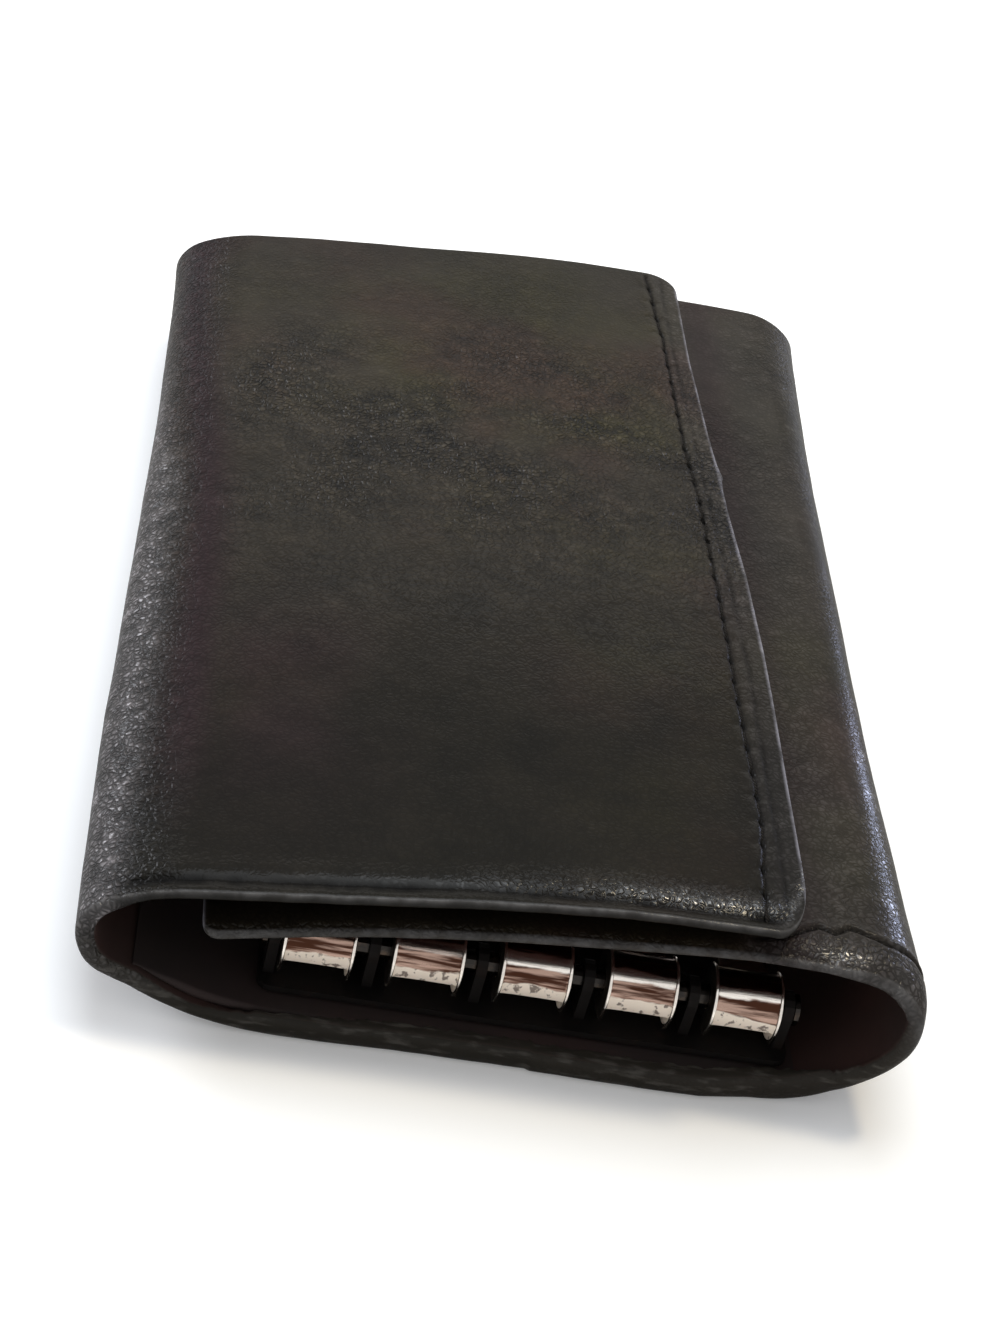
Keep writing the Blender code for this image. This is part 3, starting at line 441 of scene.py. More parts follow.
def leftMasks(places, blotch):
    lengths, y = places["length"], places["y"]
    line = shoulder["near"] - shoulder["drawn"] * smoothStep(*shoulder["along"], y)
    side = fade(line - 5.4, line - 1.6, lengths + 0.8 * blotch) * smoothStep(9, 16, lengths)
    side = most(side * (1 - 0.55 * smoothStep(8, 50, y)), *patchesOf("leftSide", places))
    # painted shade along the shoulder, where the leather reflects little light
    band = hump(lengths, line, shoulder["spread"]) * smoothStep(-52, -30, y)
    # a maroon patch near the corner, the leather's own tone, in the same colour
    band = most(band, (0.5 + 0.5 * blotch) * hump(lengths, 37, 8) * hump(y, -30, 14))
    middle = hump(y, 14, 22) * (0.75 + 1.3 * ripple(lengths / 13, y / 9, 14.0)) * smoothStep(27, 34, lengths)
    middle = np.maximum(middle, 0) + 0.03
    grain = most(middle, *patchesOf("leftGrain", places))
    polish = most(0.05 * middle, 0.24 * side, *patchesOf("leftPolish", places))
    rimWear, rimShare = 0.8 * fade(16, 24, lengths), 0.4 + 0.6 * smoothStep(18, 26, lengths)
    return fromTable("leftToneAndSheen", y) + 0.15 * blotch, side, band, grain, polish, 0.0, rimWear, rimShare


def rightMasks(places, blotch):
    lengths, y = places["length"], places["y"]
    covered = patchesOf("covered", places)[0]
    grain = most(0.14 + 0.3 * ripple(lengths / 9, y / 14, 17.0), *patchesOf("rightGrain", places)) * (1 - covered)
    polish = most(sum(patchesOf("crest", places)), *patchesOf("rightPolish", places))
    # painted shade on the inner flap along the outer flap's free edge
    band, side = 0.6 * hump(lengths, 31.5, 2.5), sum(patchesOf("rightSide", places))
    rimWear = 0.8 * fade(12, 18, lengths)
    rimShare = 0.75 * smoothStep(10, 16, lengths) + 0.25 * smoothStep(33, 38, lengths)
    return 0.6 + 0.3 * blotch, side, band, grain, polish, 0.5 * covered, rimWear, rimShare


def leatherMasks(chain, rows, picks):
    # what the leather's finish reads, each from 0 to 1, for the outer side and the inner side
    lengths, near = rows["lengths"], rows["near"]
    y = rows["outer"][:, :, 1]
    none = np.zeros(lengths.shape)
    blotch = ripple(lengths / 9, y / 12, 21.0, 2)
    edge = fade(0.0, 0.35, rows["edge"])  # the free edge of a flap
    left = chain["side"] < 0
    places = {"length": lengths, "y": y, "gap": near, "edge": rows["edge"]}
    worn = (leftMasks if left else rightMasks)(places, blotch)
    toneAndSheen, side, band, grain, polish, shaded, rimWear, rimShare = worn
    sides = {
        "toneAndSheen": (toneAndSheen, none), "side": (side, none), "band": (band, none), "edge": (edge, none),
        "polish": (np.maximum(polish, edgeShine * edge), none),
        # painted shade with some dirt in the creases, crack and stitch holes, and painted shade where the outer flap
        # covers the inner one
        "groove": (np.maximum(rows["groove"], shaded), none), "grain": (grain, none + 0.3),
        "wear": (0.3 * np.clip(1 - near / 0.9, 0, 1), lipExtra(chain, lengths, near) / leather["lip"]),
        "rim": (fade(0.0, 0.2, near) * rimShare, none),
    }
    steps, made = leather["ringSteps"], {}
    paintedTopLight = np.linspace(0.2, 1, steps) ** (4 if left else 1)  # the near rim, from below to its top: painted highlight, paler towards the top
    for key, (top, under) in sides.items():
        loops = []
        for index in picks:
            nearRims = {
                "wear": rimWear[index, 0] * np.ones(steps), "rim": rimShare[index, 0] * paintedTopLight,
                "groove": np.zeros(steps),
            }
            nearRim = nearRims.get(key, np.full(steps, top[index, 0]))
            loops.append(np.concatenate([top[index], np.full(steps, top[index, -1]), under[index][::-1], nearRim]))
        made[key] = np.clip(np.array(loops), 0, 1)
    return made


def meshFromRings(name, rings, masks, inward, roundEnd):
    # the first ring, and the last one at an open end, only lend their normals to the seams
    around = np.roll(rings, -1, axis=1) - np.roll(rings, 1, axis=1)
    normals = np.cross(np.gradient(rings, axis=0), around)
    normals /= np.maximum(np.linalg.norm(normals, axis=2, keepdims=True), 1e-12)
    stop = len(rings) if roundEnd else -1
    rings, normals = rings[1:stop], normals[1:stop]
    count, ring = rings.shape[:2]
    steps = leather["ringSteps"]
    columns = ring // 2 - steps
    index = np.arange(count * ring).reshape(count, ring)
    a, b = index[:-1], index[1:]
    faces = np.stack([a, np.roll(a, -1, axis=1), np.roll(b, -1, axis=1), b], axis=2).reshape(-1, 4)
    middle = columns // 2
    p, q, r = rings[0, middle], rings[0, middle + 1], rings[1, middle]
    facesIn = np.dot(np.cross(q - p, r - p), inward[middle]) > 0
    if np.dot(normals[0, middle], inward[middle]) > 0:
        normals = -normals
    faces = faces.tolist()
    if roundEnd:  # closes the last ring onto itself
        last = index[-1]
        for j in range(columns - 1):
            low = 2 * columns + steps - 1 - j
            faces.append([int(last[j]), int(last[j + 1]), int(last[low - 1]), int(last[low])])
        for start in (columns - 1, 2 * columns + steps - 1):
            faces.append([int(last[(start + k) % ring]) for k in range(steps + 2)])
    if facesIn:
        faces = [face[::-1] for face in faces]
    mesh = bpy.data.meshes.new(name)
    mesh.from_pydata((rings.reshape(-1, 3) * mm).tolist(), [], faces)
    mesh.shade_smooth()
    inner = np.zeros(ring, int)
    inner[columns + steps - 1:2 * columns + steps] = 1
    slots = np.tile(inner, count - 1)
    slots = np.concatenate([slots, np.zeros(len(faces) - len(slots), int)])
    mesh.polygons.foreach_set("material_index", slots.astype(np.int32))
    for key, value in masks.items():
        attribute = mesh.attributes.new(key, "FLOAT", "POINT")
        attribute.data.foreach_set("value", value[1:stop].reshape(-1).astype(np.float32))
    given = np.zeros((count, ring, 3))
    given[0] = normals[0]
    if not roundEnd:
        given[-1] = normals[-1]
    mesh.normals_split_custom_set_from_vertices(given.reshape(-1, 3).tolist())
    return addObject(name, mesh)


pieces = {}


def makeSheet(
    name, chain, lengths, share, edge=None, corners=None, lining=None, rim=leather["rim"], inset=0.0, roundEnd=False,
):
    # a sheet over a stretch of the chain; a lining is a thinner sheet under the leather
    grid = np.repeat(np.asarray(lengths, float)[:, None], len(share), axis=1)
    if edge is not None:
        start, longest = grid[0, 0], float(np.max(edge))
        grid = start + (grid - start) / (longest - start) * (edge[None, :] - start)
    grid = np.concatenate([(2 * grid[0] - grid[1])[None, :], grid])
    if not roundEnd:
        grid = np.concatenate([grid, (2 * grid[-1] - grid[-2])[None, :]])
    wide = np.repeat(share[None, :], grid.shape[0], axis=0)
    edgeWide = None if edge is None else np.repeat(edge[None, :], grid.shape[0], axis=0)
    rows = sheetRows(chain, grid, wide, edgeWide, corners, rim, inset)
    depth, offset = sideTable(chain, "Thick", grid), 0.0
    if lining is not None:
        depth, offset = np.full(grid.shape, lining), depth + leather["slack"]
    else:
        depth = depth + lipExtra(chain, grid, rows["near"])
        depth = depth - leather["thinned"] * smoothStep(24, 29, grid) * fade(1.0, 5.0, rows["near"])
    rings, picks = ringRows(rows, depth, offset, rim, 5 if roundEnd else 0)
    made = meshFromRings(name, rings, leatherMasks(chain, rows, picks), rows["inward"][1], roundEnd)
    pieces[name] = made
    return made


def bendOver(made, chain, length):
    (x1, x2), (z1, z2), _ = chainAt(chain, [length - leather["lap"], length + leather["lap"]])
    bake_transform(made)


def stretch(low, high, step):
    return np.linspace(low, high, max(2, int(math.ceil((high - low) / step)) + 1))


leftShares = shares(0.3)
rightShares = shares(0.75)


def makeFolds():
    for chain, share, prefix in ((leftChain, leftShares, "outer"), (rightChain, rightShares, "inner")):
        hinges, lap = chain["hinges"], leather["lap"]
        middleLow, middleHigh = (hinges[0] + hinges[1]) / 2, (hinges[1] + hinges[2]) / 2
        lower, upper = f"{prefix}_fold_lower", f"{prefix}_fold_upper"
        made = makeSheet(f"{lower}_leather", chain, stretch(hinges[0] - lap, middleLow, 0.33), share)
        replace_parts(made, lower)
        bendOver(made, chain, hinges[0])
        made = makeSheet(f"{upper}_leather", chain, stretch(middleLow, middleHigh, 0.33), share)
        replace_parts(made, upper)
        bendOver(made, chain, hinges[1])


makeFolds()
print("fold leather made")

outerFlap = {
    "edgeY": [-56, -48, -41, -30, -20, -6, 7, 17, 23, 33, 40, 52.4, 56],
    "edgeX": [23.8, 23.8, 23.75, 23.7, 23.6, 23.1, 22.2, 21.8, 21.4, 20.9, 20.5, 20.2, 20.1],
    "corners": ((3.0, 6.5), (3.4, 3.4)),
    "lining": 0.5,
    "fine": (33.0, 47.6),  # a stretch of finer rows
    "edgeStep": 0.16,
}
innerFlap = {
    "endX": -25.4,
    "corners": ((1.5, 2.0), (3.0, 3.0)),
    "lining": 0.65,  # covers the flange of the press stud's post
    "fine": (24.0, 40.0),
    "edgeStep": 0.3,
}
flapLining = {"setback": 1.5, "rim": 0.22}


def lengthsAtX(chain, xs):
    samples = np.linspace(chain["hinges"][2] + 4.0, chain["length"] + 3.0, 400)
    x, _, _ = chainAt(chain, samples)
    return np.interp(-chain["side"] * np.asarray(xs, float), -chain["side"] * x, samples)


def makeFlap(prefix, chain, share, edge, flap):
    hinges = chain["hinges"]
    start, longest = (hinges[1] + hinges[2]) / 2, float(np.max(edge))
    corner = 0.3 * max(across for across, _ in flap["corners"])
    rows = np.concatenate([
        np.arange(start, flap["fine"][0], 0.6), np.arange(*flap["fine"], 0.22),
        np.arange(flap["fine"][1], longest - 7.0, 1.0), np.arange(longest - 7.0, longest - corner, flap["edgeStep"]),
        longest - corner * (1 - np.sin(np.linspace(0.06, math.pi / 2, 10))),
    ])
    made = makeSheet(f"{prefix}_flap_leather", chain, rows, share, edge=edge, corners=flap["corners"], roundEnd=True)
    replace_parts(made, f"{prefix}_flap")
    bendOver(made, chain, hinges[2])
    under = shares(1.6)
    underEdge = np.interp(under, share, edge) - flapLining["setback"]
    made = makeSheet(
        f"{prefix}_flap_lining_leather", chain, np.arange(hinges[2] + leather["lap"], float(np.max(underEdge)), 0.9),
        under, edge=underEdge, corners=flap["corners"], lining=flap["lining"], rim=flapLining["rim"],
        inset=flapLining["setback"], roundEnd=True,
    )
    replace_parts(made, f"{prefix}_flap_lining")
    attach(made, f"{prefix}_flap")


def makeFlaps():
    places = case["near"] + leftShares * (case["far"] - case["near"])
    edge = lengthsAtX(leftChain, np.interp(places, outerFlap["edgeY"], outerFlap["edgeX"]))
    makeFlap("outer", leftChain, leftShares, edge, outerFlap)
    edge = lengthsAtX(rightChain, np.full(len(rightShares), innerFlap["endX"]))
    makeFlap("inner", rightChain, rightShares, edge, innerFlap)


makeFlaps()
print("flap leather made")

baseLining = {
    "top": 2.25, "slack": 0.03, "endSetback": 0.3, "nearSetback": 0.9, "rim": 0.3, "feather": 5.0, "thinnest": 0.12,
}


def makeBaseSheet(name, step, share, lining=None):
    # one run of rows from the left toe over the flat to the right toe
    flat = case["rightStart"] - case["leftStart"]
    back = leather["lap"] + (lining["endSetback"] if lining else 0.0)
    rim, inset = (lining["rim"], lining["nearSetback"]) if lining else (leather["rim"], 0.0)
    blocks = []
    for chain in (leftChain, rightChain):
        rowLengths = stretch(-flat / 2, chain["hinges"][0] - back, step)
        rowLengths = np.append(rowLengths, 2 * rowLengths[-1] - rowLengths[-2])
        rowLengths = rowLengths[::-1] if chain is leftChain else rowLengths[1:]
        grid = np.repeat(rowLengths[:, None], len(share), axis=1)
        rows = sheetRows(chain, grid, np.repeat(share[None, :], len(grid), axis=0), None, None, rim, inset)
        depth, offset = sideTable(chain, "Thick", grid), np.zeros(grid.shape)
        if lining:
            offset = depth + lining["slack"]
            full = smoothStep(0, lining["feather"], np.max(grid) - grid)
            depth = lining["thinnest"] + (lining["top"] - offset - lining["thinnest"]) * full
        else:
            depth = depth + lipExtra(chain, grid, rows["near"])
        blocks.append((rows, depth, offset, leatherMasks(chain, rows, range(len(grid)))))
    rows = {key: np.concatenate([block[0][key] for block in blocks]) for key in ("outer", "inward")}
    depth, offset = (np.concatenate([block[index] for block in blocks]) for index in (1, 2))
    masks = {key: np.concatenate([block[3][key] for block in blocks]) for key in blocks[0][3]}
    rings, _ = ringRows(rows, depth, offset, rim, 0)
    made = meshFromRings(name, rings, masks, rows["inward"][1], False)
    pieces[name] = made
    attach(made, "case")
    return made


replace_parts(makeBaseSheet("base_leather", 0.45, shares(1.4)), "center_panel")
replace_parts(makeBaseSheet("base_lining_leather", 0.8, shares(1.6), baseLining), "center_lining")
print("base made")


def closedMesh(name, points, faces, sharp=40.0):  # a hard piece, its faces turned outwards
    mesh = bpy.data.meshes.new(name)
    mesh.from_pydata([tuple(np.asarray(point, float) * mm) for point in points], [], faces)
    shape = bmesh.new()
    shape.from_mesh(mesh)
    bmesh.ops.recalc_face_normals(shape, faces=shape.faces)
    shape.to_mesh(mesh)
    shape.free()
    mesh.shade_smooth()
    mesh.set_sharp_from_angle(angle=math.radians(sharp))
    return addObject(name, mesh)


def bridge(faces, first, second, count):  # quads between two closed loops of points
    for step in range(count):
        after = (step + 1) % count
        faces.append((first + step, first + after, second + after, second + step))


thread = {"radius": 0.17, "sides": 8, "steps": 9, "sink": 0.2, "dive": 0.22, "gap": 0.22, "from": -54.0, "to": 54.0}


def flapPoint(x, y):  # a point on the outer flap's plain surface and its outward direction
    length = lengthsAtX(leftChain, [x])
    share = np.array([[(y - case["near"]) / (case["far"] - case["near"])]])
    px, pz = plainSurface(leftChain, length[None, :], share)
    _, _, turn = chainAt(leftChain, length)
    return np.array([px[0, 0], y, pz[0, 0]]), np.array([-math.sin(turn[0]), 0.0, -math.cos(turn[0])])


def makeStitches():
    points, faces = [], []
    pitch, steps, sides = leather["stitchPitch"], thread["steps"], thread["sides"]
    offset, gap = leather["stitchOffset"], thread["gap"]
    for number in range(math.ceil((thread["from"] + offset) / pitch), math.floor((thread["to"] + offset) / pitch)):
        y1, y2 = number * pitch - offset + gap, (number + 1) * pitch - offset - gap
        for step in range(steps):
            share = step / (steps - 1)
            y, arch = y1 + (y2 - y1) * share, math.sin(math.pi * share)
            x = float(np.interp(y, leather["stitchY"], leather["stitchX"])) - 0.06 + 0.05 * math.sin(number * 1.7)
            centre, up = flapPoint(x, y)
            centre = centre - up * (thread["sink"] + thread["dive"] * (1 - arch) ** 2)
            radius = thread["radius"] * (0.35 + 0.65 * min(1.0, arch * 1.8))
            across = np.array([-up[2], 0.0, up[0]])
            if step:
                bridge(faces, len(points) - sides, len(points), sides)
            else:
                faces.append(tuple(range(len(points), len(points) + sides)))
            for side in range(sides):
                angle = 2 * math.pi * side / sides
                points.append(centre + radius * (math.cos(angle) * across + math.sin(angle) * up))
        faces.append(tuple(range(len(points) - sides, len(points))))
    made = closedMesh("outer_flap_stitching", points, faces, 60.0)
    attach(made, "outer_flap")
    return made


stitches = makeStitches()
print("stitching made")

head = {
    "places": [-15.1, -5.95, 3.2, 12.35, 21.5],
    "centre": (-50.5, 6.5),
    "half": 3.0,
    "shift": -0.15,  # the worn bands have slid a little along the rod
    "cheek": 0.3,
    "rim": 3.0,
    "band": 2.74,
    "hub": 1.12,
    "openAngles": (-118.0, -17.0),  # round the rod from level at the front: the band is cut away here
    "openDepth": 0.9,
    "brights": [0.12, 0.3, 1.0, 0.95, 1.0],  # how much of its clean nickel band each head shows near its top; the rest is painted over with the reflection colours
    "foot": (-48.0, 9.0, 0.3),  # angle, spread and length of the small feet of the cheeks
    "endFaces": (0.98, 0.02),  # an end face turns this much along the rod and lies this close to the end
    "segments": 96,
    "tailHalf": 2.3,
    "tail": (2.2, 5.45),
    "tailHeight": 1.5,
    "tailCorner": 0.45,
    "shank": 0.92,
}


def headRadius(angle, kind):
    if kind == "hub":
        return head["hub"]
    if kind == "rim":
        place, spread, length = head["foot"]
        return head["rim"] + length * float(hump(angle, place, spread))
    low, high = head["openAngles"]
    opened = smoothStep(low - 2, low + 2, angle) * fade(high - 2, high + 2, angle)
    return head["band"] - head["openDepth"] * float(opened)


def makeHead(number, x0):
    half, cheek = head["half"], head["cheek"]
    y0, z0 = head["centre"]
    middle = x0 + head["shift"]
    lip = [  # kind, place along the rod, and what its radius gains
        ("hub", 0.0, 0.0), ("rim", 0.0, -0.1), ("rim", 0.05, -0.02), ("rim", 0.12, 0.0), ("rim", cheek - 0.1, 0.0),
        ("rim", cheek - 0.03, -0.05), ("band", cheek, 0.06), ("band", cheek + 0.18, 0.0), ("band", half * 0.5, -0.03),
    ]
    stations = [(-half + x, kind, trim) for kind, x, trim in lip] + [(0.0, "band", -0.04)]
    stations += [(half - x, kind, trim) for kind, x, trim in reversed(lip)]
    segments = head["segments"]
    points, faces = [], []
    for row, (x, kind, trim) in enumerate(stations):
        for step in range(segments):
            angle = 360.0 * step / segments - 180.0
            radius = headRadius(angle, kind) + trim
            a = math.radians(angle)
            points.append((middle + x, y0 - radius * math.cos(a), z0 + radius * math.sin(a)))
        bridge(faces, row * segments, (row + 1) % len(stations) * segments, segments)
    made = closedMesh(f"saddle_{number}_band", points, faces, 50.0)
    mesh = made.data
    bright = mesh.attributes.new("bright", "FLOAT", "POINT")
    bright.data.foreach_set("value", [head["brights"][number - 1]] * len(points))
    along, close = head["endFaces"]
    atEnd = [abs(abs(face.center.x - middle * mm) - half * mm) < close * mm for face in mesh.polygons]
    ends = [int(abs(face.normal.x) > along and here) for face, here in zip(mesh.polygons, atEnd)]
    mesh.polygons.foreach_set("material_index", ends)
    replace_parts(made, f"saddle_{number}")
    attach(made, f"saddle_{number}")
    return made


def makeTail(number, x0):  # the block behind the band that holds the hook's swivel
    y0, z0 = head["centre"]
    half, height, corner = head["tailHalf"], head["tailHeight"], head["tailCorner"]
    start, end = (y0 + reach for reach in head["tail"])
    outline = []
    for cx, cz, turned in ((1, 1, 0), (-1, 1, 90), (-1, -1, 180), (1, -1, 270)):
        for step in range(5):
            a = math.radians(turned + 22.5 * step)
            outline.append((cx * (half - corner) + corner * math.cos(a), cz * (height - corner) + corner * math.sin(a)))
    hole = [(head["shank"] * x / math.hypot(x, z), head["shank"] * z / math.hypot(x, z)) for x, z in outline]
    layers = [(outline, start, 1.0), (outline, end - 0.15, 1.0), (outline, end - 0.04, 0.975), (outline, end, 0.93),
              (hole, end, 1.0), (hole, end - 0.7, 1.0)]
    count, points, faces = len(outline), [], []
    for row, (shape, y, size) in enumerate(layers):
        points += [(x0 + x * size, y, z0 + z * size) for x, z in shape]
        if row:
            bridge(faces, (row - 1) * count, row * count, count)
    faces += [tuple(range(count)), tuple(range(len(points) - count, len(points)))]
    made = closedMesh(f"saddle_{number}_tail", points, faces)
    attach(made, f"saddle_{number}")
    return made


heads = [make(number, place) for number, place in enumerate(head["places"], 1) for make in (makeHead, makeTail)]
print("hook heads made")


def newFinish(name):
    made = bpy.data.materials.new(name)
    made.use_nodes = True
    return made, made.node_tree, made.node_tree.nodes["Principled BSDF"]


def feed(tree, socket, value):
    if isinstance(value, bpy.types.NodeSocket):
        tree.links.new(value, socket)
    else:
        socket.default_value = (*value, 1.0) if isinstance(value, tuple) else value


def feedAll(tree, node, values):
    for key, value in values.items():
        feed(tree, node.inputs[key], value)


def colourMix(tree, factor, first, second, blend="MIX"):
    made = tree.nodes.new("ShaderNodeMix")
    made.data_type = "RGBA"
    made.blend_type = blend
    for index, value in ((0, factor), (6, first), (7, second)):
        feed(tree, made.inputs[index], value)
    return made.outputs[2]


def sums(tree, operation, first, second, clamp=False):
    made = tree.nodes.new("ShaderNodeMath")
    made.operation = operation
    made.use_clamp = clamp
    feed(tree, made.inputs[0], first)
    feed(tree, made.inputs[1], second)
    return made.outputs[0]


def plus(tree, first, second, clamp=False):
    return sums(tree, "ADD", first, second, clamp)


def minus(tree, first, second):
    return sums(tree, "SUBTRACT", first, second)


def times(tree, first, second, clamp=False):
    return sums(tree, "MULTIPLY", first, second, clamp)


def ramp(tree, value, fromLow, fromHigh, toLow=0.0, toHigh=1.0):
    made = tree.nodes.new("ShaderNodeMapRange")
    made.interpolation_type = "SMOOTHSTEP"
    feed(tree, made.inputs["Value"], value)
    for key, number in (("From Min", fromLow), ("From Max", fromHigh), ("To Min", toLow), ("To Max", toHigh)):
        made.inputs[key].default_value = number
    return made.outputs["Result"]


def painted(tree, name):
    made = tree.nodes.new("ShaderNodeAttribute")
    made.attribute_name = name
    return made.outputs["Fac"]


def speckle(tree, scale, detail=3.0, kind="FBM", stretchBy=None):
    place = tree.nodes.new("ShaderNodeTexCoord")
    made = tree.nodes.new("ShaderNodeTexNoise")
    made.noise_type = kind
    made.inputs["Scale"].default_value = scale
    made.inputs["Detail"].default_value = detail
    where = place.outputs["Object"]
    if stretchBy:
        longer = tree.nodes.new("ShaderNodeMapping")
        longer.inputs["Scale"].default_value = stretchBy
        tree.links.new(where, longer.inputs["Vector"])
        where = longer.outputs["Vector"]
    tree.links.new(where, made.inputs["Vector"])
    return made.outputs["Fac"]


def relief(tree, height, distance, strength, below=None):
    made = tree.nodes.new("ShaderNodeBump")
    made.inputs["Distance"].default_value = distance
    feed(tree, made.inputs["Strength"], strength)
    tree.links.new(height, made.inputs["Height"])
    if below:
        tree.links.new(below, made.inputs["Normal"])
    return made.outputs["Normal"]


caseLeather = {
    "near": (0.0056, 0.0046, 0.0026),  # darkest near end
    "far": (0.0290, 0.0232, 0.0158),  # paler far end, partly a painted sheen of the brighter reflection there
    "side": (0.145, 0.133, 0.139),  # greyer folds; on the left fold this paler grey is partly a painted highlight of the light from the left
    "band": (0.022, 0.0130, 0.0145),  # painted maroon shade along the left shoulder and beside the outer flap's free edge, also a maroon patch near the corner
    "olive": (0.030, 0.0260, 0.0080),
    "maroon": (0.030, 0.0155, 0.0125),
    "rim": (0.105, 0.102, 0.102),  # cut near edges, paler towards their tops as a painted highlight
    "edge": (0.17, 0.165, 0.19),  # painted highlight along the flaps' free edges, which are also rubbed paler
    "lip": (0.023, 0.020, 0.016),  # worn lip
    "worn": (0.105, 0.098, 0.088),  # its scuffs
    # painted shade with some dirt in the creases, the crack and the stitch holes, and painted shade under the outer
    # flap
    "crease": (0.0012, 0.0010, 0.0010),
    "pebbles": 1700.0,  # cells per metre, and below them the scales of the other patterns
    "pebbleBend": 0.0008,
    "bends": 950.0,
    "lumps": 430.0,
    "ridges": 640.0,
    "fine": 3800.0,
    "mottle": 190.0,
    "blotches": 55.0,
    "scuffs": (330.0, 1300.0, 1300.0),
    "tints": (("olive", 31.0, 0.46), ("maroon", 44.0, 0.5)),
    "lumpShare": 0.7,  # what each pattern adds to the grain's height
    "pebbleShare": 0.32,
    "ridgeShare": 0.5,
    "grainHeight": 0.00042,
    "fineHeight": 0.00003,
    "smooth": 0.06,  # the grain's strength where the leather is smooth
    "roughness": 0.45,
    "gloss": 0.036,
    "polished": 0.17,
}


def pebbleGrain(tree):  # crackled cells whose edges are bent by a finer noise
    place = tree.nodes.new("ShaderNodeTexCoord")
    bend = tree.nodes.new("ShaderNodeTexNoise")
    bend.inputs["Scale"].default_value = caseLeather["bends"]
    tree.links.new(place.outputs["Object"], bend.inputs["Vector"])
    shift = tree.nodes.new("ShaderNodeVectorMath")
    shift.operation = "MULTIPLY_ADD"
    shift.inputs[1].default_value = (caseLeather["pebbleBend"],) * 3
    tree.links.new(bend.outputs["Color"], shift.inputs[0])
    tree.links.new(place.outputs["Object"], shift.inputs[2])
    cells = tree.nodes.new("ShaderNodeTexVoronoi")
    cells.feature = "DISTANCE_TO_EDGE"
    cells.inputs["Scale"].default_value = caseLeather["pebbles"]
    tree.links.new(shift.outputs[0], cells.inputs["Vector"])
    return ramp(tree, cells.outputs["Distance"], 0.0, 0.32)


def wornOver(tree, colour):  # the thick worn lip, with paler scuffs
    wear = painted(tree, "wear")
    colour = colourMix(tree, wear, colour, caseLeather["lip"])
    scuffs = ramp(tree, speckle(tree, 1.0, 6.0, stretchBy=caseLeather["scuffs"]), 0.5, 0.7, 0.0, 0.6)
    return colourMix(tree, times(tree, wear, scuffs), colour, caseLeather["worn"])


def leatherGrain(tree):
    ridges = speckle(tree, caseLeather["ridges"], kind="RIDGED_MULTIFRACTAL")
    height = times(tree, speckle(tree, caseLeather["lumps"]), caseLeather["lumpShare"])
    for part, share in ((pebbleGrain(tree), "pebbleShare"), (ridges, "ridgeShare")):
        height = plus(tree, height, times(tree, part, caseLeather[share]))
    return height


def leatherColour(tree, height, grain):  # by tone and painted sheen from near to far and by place, then with painted highlights on the raised grain, painted shading of the grain and painted shade with some dirt in the creases
    toneAndSheen, band, side, groove, edge, rim = (
        painted(tree, key) for key in ("toneAndSheen", "band", "side", "groove", "edge", "rim")
    )
    # painted sheen mixed with the leather's own blotchy tone: the colour runs from the dark near end to the paler far
    # end
    blotchedToneAndSheen = plus(tree, toneAndSheen, minus(tree, speckle(tree, caseLeather["blotches"], 4.0), 0.5), True)
    colour = caseLeather["far"]
    for key, scale, low in caseLeather["tints"]:
        colour = colourMix(tree, ramp(tree, speckle(tree, scale, 5.0), low, 0.68, 0.0, 0.7), colour, caseLeather[key])
    colour = colourMix(tree, blotchedToneAndSheen, caseLeather["near"], colour)
    # painted highlight: the folds' paler grey is strongest on the raised grain, where the light catches it
    raisedGrainHighlight = ramp(tree, height, 0.4, 1.05, 0.35, 0.95)
    colour = colourMix(tree, times(tree, side, raisedGrainHighlight, True), colour, caseLeather["side"])
    colour = colourMix(tree, band, colour, caseLeather["band"])
    # painted shading of the grain: raised grain paler and hollows darker, most where the grain is coarse; the mottle
    # noise is the leather's own uneven tone
    wrinkled = times(tree, minus(tree, height, 0.66), 1.6)
    mottleAndGrainShading = plus(tree, times(tree, speckle(tree, caseLeather["mottle"], 6.0), 0.5), times(tree, grain, wrinkled))
    shade = plus(tree, plus(tree, 0.25, mottleAndGrainShading), times(tree, height, 0.6))
    grey = tree.nodes.new("ShaderNodeCombineColor")
    for channel in range(3):
        tree.links.new(shade, grey.inputs[channel])
    colour = colourMix(tree, 1.0, colour, grey.outputs["Color"], "MULTIPLY")
    rough = ramp(tree, speckle(tree, 620.0, 5.0), 0.35, 0.65, 0.45, 1.0)
    colour = wornOver(tree, colourMix(tree, times(tree, rim, rough), colour, caseLeather["rim"]))
    # painted highlight along the free edges, broken up where rubbing wears it
    edgeHighlightAndRub = times(tree, edge, ramp(tree, speckle(tree, 260.0, 5.0), 0.35, 0.6, 0.25, 1.0))
    colour = colourMix(tree, edgeHighlightAndRub, colour, caseLeather["edge"])
    # painted shade with some dirt in the creases
    return colourMix(tree, groove, colour, caseLeather["crease"])


